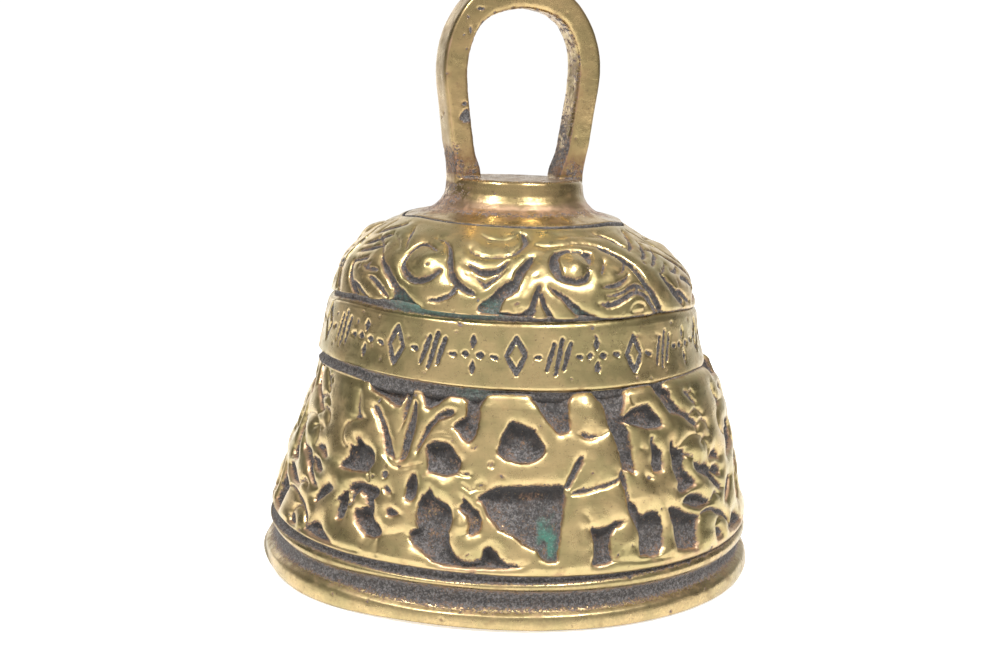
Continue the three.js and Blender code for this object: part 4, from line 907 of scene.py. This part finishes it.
# Hexagon nut, 7 mm across flats, its corners turned back at both ends.
NT, NH = 48.7, 2.8
bm = bmesh.new()
seg = 120
nrows = []
zs_ = [NT - NH, NT - NH + .02, NT - NH + .12, NT - NH + .25, NT - NH + .4, NT - NH + .55, NT - NH / 2, NT - .55, NT - .4, NT - .25, NT - .12, NT - .02, NT]
for z in zs_:
    row_ = []
    for k in range(seg):
        a = 2 * math.pi * k / seg
        hexr = 3.5 / math.cos(((a + math.pi / 6) % (math.pi / 3)) - math.pi / 6)
        d = min(z - (NT - NH), NT - z)
        cone = 3.42 + d / math.tan(math.radians(32))
        r = min(hexr, cone)
        row_.append(bm.verts.new((r * MM * math.sin(a), r * MM * math.cos(a), z * MM)))
    nrows.append(row_)
inner_rows = [[bm.verts.new((r * MM * math.sin(2 * math.pi * k / seg), r * MM * math.cos(2 * math.pi * k / seg), z * MM)) for k in range(seg)] for r, z in ((2.35, NT), (2.03, NT - .32), (2.03, NT - NH + .32), (2.35, NT - NH))]
loop_rows = nrows + inner_rows
for a, b in zip(loop_rows, loop_rows[1:] + loop_rows[:1]):
    for k in range(seg):
        bm.faces.new([a[k], a[(k + 1) % seg], b[(k + 1) % seg], b[k]])
bmesh.ops.recalc_face_normals(bm, faces=bm.faces)
nm = bpy.data.meshes.new("nut_hex")
bm.to_mesh(nm)
bm.free()
nm.shade_smooth()
nut = object_from("nut_hex", nm)
nut.data.set_sharp_from_angle(angle=math.radians(28))
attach(nut, "bell")
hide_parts("crown_nut")

# ------------------------------------------------------------------ link and clapper
w, top, bot = 2.7, 41.0 - 2.7, 32.2 + 2.7
path = [[w * math.cos(t), 0, top + w * math.sin(t)] for t in np.linspace(0, math.pi, 40)]
path += [[-w, 0, z] for z in np.linspace(top, bot, 14)[1:-1]]
path += [[-w * math.cos(t), 0, bot - w * math.sin(t)] for t in np.linspace(0, math.pi, 40)]
path += [[w, 0, z] for z in np.linspace(bot, top, 14)[1:-1]]
link = object_from("link_wire", sweep_closed("link_wire", path, (0, 1, 0), 0.9, 28))
lcm = coords(link.data) / MM
lnn = normals_of(link.data)
# the welded seam of the wire on one long side
seam = np.exp(-((lcm[:, 2] - 36.5) / 0.32) ** 2) * (lcm[:, 0] > 0)
put_coords(link.data, (lcm + lnn * (0.10 * seam - 0.05 * np.exp(-((lcm[:, 2] - 36.5) / 0.08) ** 2) * (lcm[:, 0] > 0))[:, None]) * MM)
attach(link, "link")
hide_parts("clapper_link")

CE_Z, CE_R, CE_W = 31.4, 3.0, 1.2
ring = [[0, CE_R * math.sin(t), CE_Z - CE_R * math.cos(t)] for t in 2 * math.pi * np.arange(96) / 96]
ceye = sweep_closed("clapper_eye", ring, (1, 0, 0), CE_W, 32)
shank = lathe_mesh("clapper_shank", [
    [0, 2.5], [0.9, 2.52], [1.5, 2.68], [1.95, 2.95], [2.18, 3.3], [2.2, 3.65], [2.1, 3.7], [1.5, 3.7], [1.5, 4.4],
    [1.5, 17.35], [2.3, 17.35], [2.42, 17.5], [2.42, 18.0], [2.1, 18.6], [1.62, 19.2], [1.5, 19.8], [1.5, 24.0], [1.55, 26.6], [1.8, 28.0], [1.5, 29.2], [0, 29.2]], 72)
rod = object_from("clapper_forged", join("clapper_forged", ceye, shank))
fuse(rod, 0.13, 4)
rcm = coords(rod.data) / MM
rn = normals_of(rod.data)
keep = (rcm[:, 2] > 19.0) & (rcm[:, 2] < 28.4)
hammer = cloud(rcm, 1.6, 9) * 0.05
put_coords(rod.data, (rcm + rn * (hammer * keep)[:, None]) * MM)
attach(rod, "clapper")
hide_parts("clapper_rod")

bz, br = 10.8, 7.0
a0, a1 = math.asin((4.5 - bz) / br), math.asin((17.3 - bz) / br)
bp = [[1.62, 4.5]] + [[br * math.cos(t) - 0.03, bz + br * math.sin(t)] for t in np.linspace(a0, a1, 60)] + [[1.62, 17.3]]
# two fine turned lines round the ball's middle
for p in bp:
    for zc in (9.6, 12.0):
        p[0] -= 0.10 * math.exp(-((p[1] - zc) / 0.14) ** 2)
ball = object_from("clapper_ball_turned", lathe_mesh("clapper_ball_turned", bp, 128))
bcm = coords(ball.data) / MM
bnn = normals_of(ball.data)
ang = np.degrees(np.arctan2(bcm[:, 1], bcm[:, 0]))
brr = np.hypot(bcm[:, 0], bcm[:, 1])
# struck flats where the ball meets the wall, worn bright
strike = np.exp(-(((np.abs(ang) + 0) / 16.0) ** 2)) + np.exp(-(((180 - np.abs(ang)) / 16.0) ** 2))
strike *= np.exp(-((bcm[:, 2] - 9.5) / 2.6) ** 2) * (brr > 3)
bd = -0.10 * strike + 0.03 * cloud(bcm, 1.5, 12) * (brr > 2)
put_coords(ball.data, (bcm + bnn * bd[:, None]) * MM)
put_attr(ball.data, "cav", np.clip(0.34 + 0.3 * cloud(bcm, 2.5, 14) - 0.5 * strike + 0.5 * (brr < 3.2), 0, 1))
put_attr(ball.data, "edge", np.zeros(len(bcm)))
put_attr(ball.data, "verd", np.clip(0.5 * cloud(bcm, 3.0, 15) - 0.2, 0, 1) * (1 - strike))
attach(ball, "clapper")
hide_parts("clapper_ball")

burr = object_from("burr_turned", lathe_mesh("burr_turned", [[1.6, 3.8], [1.7, 3.75], [2.72, 3.75], [2.88, 3.85], [2.9, 4.0], [2.9, 4.3], [2.84, 4.43], [2.7, 4.45], [1.7, 4.45], [1.6, 4.4]], SIDES))
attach(burr, "clapper")
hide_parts("clapper_burr")

# ------------------------------------------------------------------ materials
class Nodes:
    """Short hand for building a node tree. Positions are object coordinates in mm."""
    def __init__(self, name):
        self.mat = bpy.data.materials.new(name)
        self.mat.use_nodes = True
        self.t = self.mat.node_tree
        self.t.nodes.clear()
        self.out = self.t.nodes.new("ShaderNodeOutputMaterial")
        self.bsdf = self.t.nodes.new("ShaderNodeBsdfPrincipled")
        self.link(self.bsdf.outputs[0], self.out.inputs[0])
        tc = self.t.nodes.new("ShaderNodeTexCoord")
        mp = self.t.nodes.new("ShaderNodeMapping")
        mp.inputs["Scale"].default_value = (1000, 1000, 1000)
        self.link(tc.outputs["Object"], mp.inputs["Vector"])
        self.pos = mp.outputs[0]

    def link(self, a, b):
        self.t.links.new(a, b)

    def put(self, socket, v):
        if hasattr(v, "is_output"):
            self.link(v, socket)
        elif v is not None:
            socket.default_value = v

    def stretch(self, sx, sy, sz):
        mp = self.t.nodes.new("ShaderNodeMapping")
        mp.inputs["Scale"].default_value = (sx, sy, sz)
        self.link(self.pos, mp.inputs["Vector"])
        return mp.outputs[0]

    def noise(self, scale, detail=4, rough=0.55, vector=None, offset=0.0):
        n = self.t.nodes.new("ShaderNodeTexNoise")
        n.noise_dimensions = "4D"
        n.inputs["W"].default_value = offset
        n.inputs["Scale"].default_value = scale
        n.inputs["Detail"].default_value = detail
        n.inputs["Roughness"].default_value = rough
        self.link(vector or self.pos, n.inputs["Vector"])
        return n.outputs["Fac"]

    def voronoi(self, scale, vector=None):
        n = self.t.nodes.new("ShaderNodeTexVoronoi")
        n.inputs["Scale"].default_value = scale
        self.link(vector or self.pos, n.inputs["Vector"])
        return n.outputs["Distance"]

    def attr(self, name):
        n = self.t.nodes.new("ShaderNodeAttribute")
        n.attribute_name = name
        return n.outputs["Fac"]

    def m(self, op, a, b=None, c=None, clamp=False):
        n = self.t.nodes.new("ShaderNodeMath")
        n.operation = op
        n.use_clamp = clamp
        for s, v in zip(n.inputs, (a, b, c)):
            if v is not None:
                self.put(s, v)
        return n.outputs[0]

    def ramp(self, v, lo, hi, a=0.0, b=1.0, smooth=True):
        n = self.t.nodes.new("ShaderNodeMapRange")
        n.interpolation_type = "SMOOTHSTEP" if smooth else "LINEAR"
        n.clamp = True
        self.put(n.inputs["Value"], v)
        n.inputs["From Min"].default_value, n.inputs["From Max"].default_value = lo, hi
        n.inputs["To Min"].default_value, n.inputs["To Max"].default_value = a, b
        return n.outputs["Result"]

    def mix(self, f, a, b):
        n = self.t.nodes.new("ShaderNodeMix")
        n.data_type = "RGBA"
        ins = [i for i in n.inputs if i.type == "RGBA"]
        self.put([i for i in n.inputs if i.type == "VALUE"][0], f)
        self.put(ins[0], a if hasattr(a, "is_output") else (*a, 1))
        self.put(ins[1], b if hasattr(b, "is_output") else (*b, 1))
        return [o for o in n.outputs if o.type == "RGBA"][0]

    def bump(self, height, strength, distance_mm, normal=None):
        n = self.t.nodes.new("ShaderNodeBump")
        n.inputs["Strength"].default_value = strength
        n.inputs["Distance"].default_value = distance_mm * MM
        self.link(height, n.inputs["Height"])
        if normal is not None:
            self.link(normal, n.inputs["Normal"])
        return n.outputs[0]


def brass(name, bright, deep, patina=(0.112, 0.104, 0.101), tarnish=0.35, rough=0.25, grime=0.0):
    k = Nodes(name)
    cav, edge, verd = k.attr("cav"), k.attr("edge"), k.attr("verd")
    slow = k.noise(0.11, 3, 0.5, offset=1.3)            # bands of tone about 9 mm across
    mid = k.noise(0.55, 5, 0.6, offset=4.1)             # blotches about 2 mm across
    fine = k.noise(2.2, 6, 0.65, offset=7.7)            # half-millimetre mottling
    grain = k.noise(4.3, 2, 0.55, offset=2.9)           # grain of the sand mould
    coarse = k.noise(2.3, 2, 0.5, offset=21.3)
    # dirt and patina that sit in the recesses and break up at their edge; on the bell the cav mask also brings painted
    # shade on down-facing slopes
    d = k.m("ADD", cav, k.m("MULTIPLY", k.m("SUBTRACT", fine, 0.5), 0.65))
    d = k.m("ADD", d, k.m("MULTIPLY", k.m("SUBTRACT", grain, 0.5), 1.05))
    d = k.m("ADD", d, grime)
    dirt_and_shade = k.ramp(d, 0.36, 0.58)
    # grains of metal that show through the dirt and shade
    spark = k.ramp(k.noise(3.6, 3, 0.6, offset=11.4), 0.62, 0.70)
    dirt_and_shade = k.m("MULTIPLY", dirt_and_shade, k.m("SUBTRACT", 1.0, k.m("MULTIPLY", spark, 0.55)))
    # thin brown tarnish over part of the bright metal
    brown = k.attr("brown")
    tarn = k.m("MULTIPLY", k.ramp(k.m("ADD", mid, k.m("MULTIPLY", cav, 0.35)), 0.50, 0.78), tarnish)
    tarn = k.m("MAXIMUM", tarn, k.m("MULTIPLY", brown, k.ramp(mid, 0.30, 0.62, 0.35, 1.0)))
    olive = k.m("ADD", k.m("MULTIPLY", slow, 0.6), k.m("MULTIPLY", k.noise(0.30, 3, 0.5, offset=12.7), 0.4))
    metal = k.mix(k.ramp(olive, 0.40, 0.60), bright, deep)
    metal = k.mix(tarn, metal, (0.25, 0.145, 0.075))
    # pink tint of rubbed metal on edges, which is also painted highlight where the edge mask follows up-facing rims and
    # the handle's arrises
    pink_rub_and_highlight = k.m("MULTIPLY", k.ramp(k.m("ADD", k.m("MULTIPLY", edge, 0.55), k.m("MULTIPLY", mid, 0.6)), 0.52, 0.86), 0.62)
    drawn = k.noise(1.6, 4, 0.6, vector=k.stretch(0.22, 0.22, 2.6), offset=15.6)
    metal = k.mix(k.ramp(drawn, 0.56, 0.74, 0.0, 0.45), metal, (0.33, 0.235, 0.12))
    metal = k.mix(pink_rub_and_highlight, metal, (0.58, 0.36, 0.25))
    specks = k.ramp(k.noise(2.6, 3, 0.6, offset=9.2), 0.62, 0.68)
    metal = k.mix(k.m("MULTIPLY", specks, 0.60), metal, (0.20, 0.125, 0.085))
    metal = k.mix(k.m("MULTIPLY", k.attr("dull"), k.ramp(coarse, 0.35, 0.62, 0.45, 1.0)), metal, (0.27, 0.20, 0.115))
    pat = k.mix(k.ramp(k.m("ADD", k.m("MULTIPLY", grain, 0.6), k.m("MULTIPLY", coarse, 0.4)), 0.42, 0.68), tuple(c * 0.62 for c in patina), tuple(c * 2.3 for c in patina))
    pat = k.mix(k.ramp(k.noise(4.9, 1, 0.5, offset=31.7), 0.60, 0.74, 0.0, 0.42), pat, (0.38, 0.35, 0.31))
    # painted shade: the patina goes darker where the shade attribute is high, under the pockets' upper rims and up
    # inside the bell
    painted_shade = k.m("ADD", k.attr("shade"), k.m("MULTIPLY", k.m("SUBTRACT", k.noise(0.5, 4, 0.6, offset=14.2), 0.5), 1.1))
    pat = k.mix(k.ramp(painted_shade, 0.25, 0.85, 0.0, 0.85), pat, tuple(c * 0.38 for c in patina))
    pat = k.mix(k.ramp(mid, 0.5, 0.8, 0, 0.5), pat, (0.15, 0.115, 0.095))
    vmask = k.ramp(k.m("ADD", k.m("MULTIPLY", verd, 0.9), k.m("MULTIPLY", k.m("SUBTRACT", fine, 0.5), 0.9)), 0.30, 0.75)
    pat = k.mix(k.m("MULTIPLY", vmask, 0.75), pat, (0.095, 0.165, 0.135))
    vivid = k.ramp(k.m("ADD", verd, k.m("MULTIPLY", k.m("SUBTRACT", grain, 0.5), 0.5)), 0.72, 0.95)
    pat = k.mix(k.m("MULTIPLY", vivid, k.ramp(coarse, 0.38, 0.62, 0.35, 0.9)), pat, (0.080, 0.235, 0.175))
    pat = k.mix(k.m("MULTIPLY", vmask, k.ramp(grain, 0.52, 0.74, 0, 0.7)), pat, (0.24, 0.34, 0.29))
    col = k.mix(dirt_and_shade, metal, pat)
    rim = k.m("MULTIPLY", k.ramp(d, 0.20, 0.38), k.m("SUBTRACT", 1.0, k.ramp(d, 0.50, 0.74)))
    col = k.mix(k.m("MULTIPLY", rim, k.ramp(coarse, 0.42, 0.60, 0.15, 0.75)), col, (0.27, 0.165, 0.115))
    k.put(k.bsdf.inputs["Base Color"], col)
    k.bsdf.inputs["Sheen Weight"].default_value = 0.16
    k.bsdf.inputs["Sheen Roughness"].default_value = 0.30
    k.bsdf.inputs["Sheen Tint"].default_value = (1.0, 0.95, 0.90, 1)
    k.put(k.bsdf.inputs["Metallic"], k.ramp(dirt_and_shade, 0, 1, 1.0, 0.22, smooth=False))
    polish = k.m("ADD", k.m("MULTIPLY", k.ramp(mid, 0.3, 0.75), 0.14), k.m("MULTIPLY", tarn, 0.35))
    r = k.m("ADD", k.m("ADD", polish, rough - 0.04), k.m("ADD", k.m("MULTIPLY", dirt_and_shade, 0.46), k.m("MULTIPLY", edge, 0.10)), clamp=True)
    k.put(k.bsdf.inputs["Roughness"], r)
    streak = k.noise(3.0, 3, 0.6, vector=k.stretch(0.35, 0.35, 3.2), offset=5.5)
    b1 = k.bump(k.noise(0.9, 3, 0.5, offset=3.3), 0.35, 0.10)
    b2 = k.bump(streak, 0.22, 0.035, b1)
    b3 = k.bump(k.m("MULTIPLY", grain, k.m("ADD", k.m("MULTIPLY", dirt_and_shade, 0.9), 0.06)), 0.9, 0.13, b2)
    k.put(k.bsdf.inputs["Normal"], b3)
    return k.mat


def steel(name, light, dark, rust=(0.11, 0.055, 0.03), rusty=0.3, rough=0.38, scale=1.0):
    k = Nodes(name)
    mid = k.noise(0.7 * scale, 5, 0.6, offset=1.9)
    fine = k.noise(4.0 * scale, 5, 0.65, offset=6.1)
    col = k.mix(k.ramp(mid, 0.35, 0.7), light, dark)
    r = k.m("MULTIPLY", k.ramp(k.m("ADD", k.m("MULTIPLY", mid, 0.6), k.m("MULTIPLY", fine, 0.5)), 0.52, 0.72), rusty)
    col = k.mix(r, col, rust)
    k.put(k.bsdf.inputs["Base Color"], col)
    k.put(k.bsdf.inputs["Metallic"], k.ramp(r, 0, 1, 1.0, 0.2, smooth=False))
    k.put(k.bsdf.inputs["Roughness"], k.m("ADD", k.m("MULTIPLY", fine, 0.22), k.m("ADD", k.m("MULTIPLY", r, 0.4), rough - 0.11), clamp=True))
    drawn = k.noise(2.4, 3, 0.6, vector=k.stretch(3.0, 3.0, 0.4), offset=8.8)
    b = k.bump(drawn, 0.2, 0.04)
    k.put(k.bsdf.inputs["Normal"], k.bump(fine, 0.4, 0.06, b))
    return k.mat


def dress(ob, mat):
    ob.data.materials.clear()
    ob.data.materials.append(mat)


BRIGHT, DEEP = (0.64, 0.48, 0.235), (0.47, 0.385, 0.18)
dress(bell, brass("cast_brass_figured", BRIGHT, DEEP, tarnish=0.5, rough=0.29))
dress(handle, brass("cast_brass_handle", (0.56, 0.40, 0.19), (0.44, 0.335, 0.155), tarnish=0.6, rough=0.22))
dress(ball, brass("turned_brass_ball", (0.62, 0.49, 0.21), (0.50, 0.38, 0.15), tarnish=0.6, rough=0.30))
dress(eye, steel("eyebolt_zinc", (0.50, 0.49, 0.47), (0.33, 0.31, 0.29), rusty=0.4))
dress(washer, steel("washer_zinc", (0.52, 0.51, 0.48), (0.36, 0.34, 0.32), rusty=0.35))
dress(nut, steel("nut_zinc", (0.50, 0.49, 0.46), (0.34, 0.32, 0.30), rusty=0.35))
dress(link, steel("link_drawn", (0.42, 0.40, 0.37), (0.24, 0.22, 0.20), rusty=0.5, rough=0.42))
dress(rod, steel("rod_forged", (0.25, 0.23, 0.21), (0.13, 0.115, 0.10), rusty=0.7, rough=0.5))
dress(burr, steel("burr_plain", (0.44, 0.43, 0.40), (0.28, 0.26, 0.24), rusty=0.4))

# ------------------------------------------------------------------ stage, light and camera
scene = bpy.context.scene
scene.view_settings.view_transform = "Standard"
scene.view_settings.look = "None"
scene.view_settings.exposure = 0.0
scene.view_settings.gamma = 1.0

bm = bmesh.new()
bmesh.ops.create_grid(bm, x_segments=1, y_segments=1, size=0.34)
fm = bpy.data.meshes.new("floor")
bm.to_mesh(fm)
bm.free()
floor = object_from("floor", fm)
floor.location = (0, 0, -0.00005)
k = Nodes("floor_white")
k.put(k.bsdf.inputs["Base Color"], (0.93, 0.93, 0.93, 1))
k.bsdf.inputs["Roughness"].default_value = 0.85
k.bsdf.inputs["Specular IOR Level"].default_value = 0.15
k.bsdf.inputs["Emission Color"].default_value = (1, 1, 1, 1)
k.bsdf.inputs["Emission Strength"].default_value = 0.52
clear = k.t.nodes.new("ShaderNodeBsdfTransparent")
back = k.t.nodes.new("ShaderNodeNewGeometry")
either = k.t.nodes.new("ShaderNodeMixShader")
k.link(back.outputs["Backfacing"], either.inputs["Fac"])
k.link(k.bsdf.outputs[0], either.inputs[1])
k.link(clear.outputs[0], either.inputs[2])
k.link(either.outputs[0], k.out.inputs[0])
fm.materials.append(k.mat)

world = bpy.data.worlds.new("studio")
scene.world = world
world.use_nodes = True
t = world.node_tree
t.nodes.clear()
wo = t.nodes.new("ShaderNodeOutputWorld")
tc = t.nodes.new("ShaderNodeTexCoord")
# the room in front of the bell is dimmer than the tent behind and above it
fa = math.radians(FRONT)
dot = t.nodes.new("ShaderNodeVectorMath")
dot.operation = "DOT_PRODUCT"
dot.inputs[1].default_value = (math.sin(fa), -math.cos(fa), 0.0)
t.links.new(tc.outputs["Generated"], dot.inputs[0])
ramp = t.nodes.new("ShaderNodeValToRGB")
ramp.color_ramp.interpolation = "EASE"
cr = ramp.color_ramp.elements
cr[0].position, cr[0].color = 0.03, (1.0, 1.0, 1.0, 1)
cr[1].position, cr[1].color = 0.92, (0.66, 0.66, 0.66, 1)
for pos, v in ((0.12, 0.62), (0.26, 0.14), (0.50, 0.20), (0.74, 0.46)):
    e_ = cr.new(pos)
    e_.color = (v, v, v, 1)
mr = t.nodes.new("ShaderNodeMapRange")
mr.inputs["From Min"].default_value, mr.inputs["From Max"].default_value = -1, 1
t.links.new(dot.outputs["Value"], mr.inputs["Value"])
t.links.new(mr.outputs["Result"], ramp.inputs["Fac"])
sep = t.nodes.new("ShaderNodeSeparateXYZ")
t.links.new(tc.outputs["Generated"], sep.inputs[0])
over = t.nodes.new("ShaderNodeMapRange")
over.interpolation_type = "SMOOTHSTEP"
over.inputs["From Min"].default_value, over.inputs["From Max"].default_value = 0.45, 0.95
over.inputs["To Min"].default_value, over.inputs["To Max"].default_value = 0.0, 0.22
t.links.new(sep.outputs["Z"], over.inputs["Value"])
plus = t.nodes.new("ShaderNodeMath")
plus.operation = "ADD"
t.links.new(ramp.outputs["Color"], plus.inputs[0])
t.links.new(over.outputs["Result"], plus.inputs[1])
bg1 = t.nodes.new("ShaderNodeBackground")
t.links.new(plus.outputs[0], bg1.inputs["Color"])
bg1.inputs["Strength"].default_value = 1.03
bg2 = t.nodes.new("ShaderNodeBackground")
bg2.inputs["Color"].default_value = (1, 1, 1, 1)
bg2.inputs["Strength"].default_value = 1.03
lp = t.nodes.new("ShaderNodeLightPath")
mx = t.nodes.new("ShaderNodeMixShader")
t.links.new(lp.outputs["Is Camera Ray"], mx.inputs["Fac"])
t.links.new(bg1.outputs[0], mx.inputs[1])
t.links.new(bg2.outputs[0], mx.inputs[2])
t.links.new(mx.outputs[0], wo.inputs["Surface"])


def area(name, az, el, dist, size, power, target=(0, 0, 0.035), size_y=None):
    """Soft box; azimuth from the middle of the front, to the right."""
    a, e = math.radians(az + FRONT), math.radians(el)
    p = Vector(target) + dist * Vector((math.sin(a) * math.cos(e), -math.cos(a) * math.cos(e), math.sin(e)))
    l = bpy.data.lights.new(name, "AREA")
    l.shape = "RECTANGLE"
    l.size, l.size_y = size, size_y or size
    l.energy = power
    ob = bpy.data.objects.new(name, l)
    scene.collection.objects.link(ob)
    ob.location = p
    ob.rotation_euler = (Vector(target) - p).to_track_quat("-Z", "Y").to_euler()
    return ob


area("left_box", -47, 58, 0.60, 0.09, 2.0)
area("right_box", 43, 59, 0.60, 0.09, 2.2)
area("back_left_box", -150, 6, 0.70, 0.26, 0.30, size_y=0.40)

# camera: seen a little from above, the strap loop turned 20 degrees to the line of sight
ALPHA = math.radians(FRONT)
f_px, D, CH, pitch, yaw, roll = 1773.0, 268.4, 89.9, math.radians(11.67), math.radians(-0.313), math.radians(1.857)
fwd = Vector((math.sin(yaw) * math.cos(pitch), math.cos(yaw) * math.cos(pitch), -math.sin(pitch)))
right = Vector((math.cos(yaw), -math.sin(yaw), 0))
up = right.cross(fwd)
r2 = math.cos(roll) * right + math.sin(roll) * up
u2 = -math.sin(roll) * right + math.cos(roll) * up
spin = Matrix.Rotation(ALPHA, 3, "Z")
r2, u2, fwd = spin @ r2, spin @ u2, spin @ fwd
cam_data = bpy.data.cameras.new("camera")
cam_data.sensor_width = 36.0
cam_data.sensor_fit = "HORIZONTAL"
cam_data.lens = f_px / 1000.0 * 36.0
cam_data.clip_start, cam_data.clip_end = 0.01, 20.0
camera = bpy.data.objects.new("camera", cam_data)
scene.collection.objects.link(camera)
m4 = Matrix((
    (r2.x, u2.x, -fwd.x, 0), (r2.y, u2.y, -fwd.y, 0), (r2.z, u2.z, -fwd.z, 0), (0, 0, 0, 1)))
m4.translation = spin @ Vector((0, -D * MM, CH * MM))
camera.matrix_world = m4
scene.camera = camera
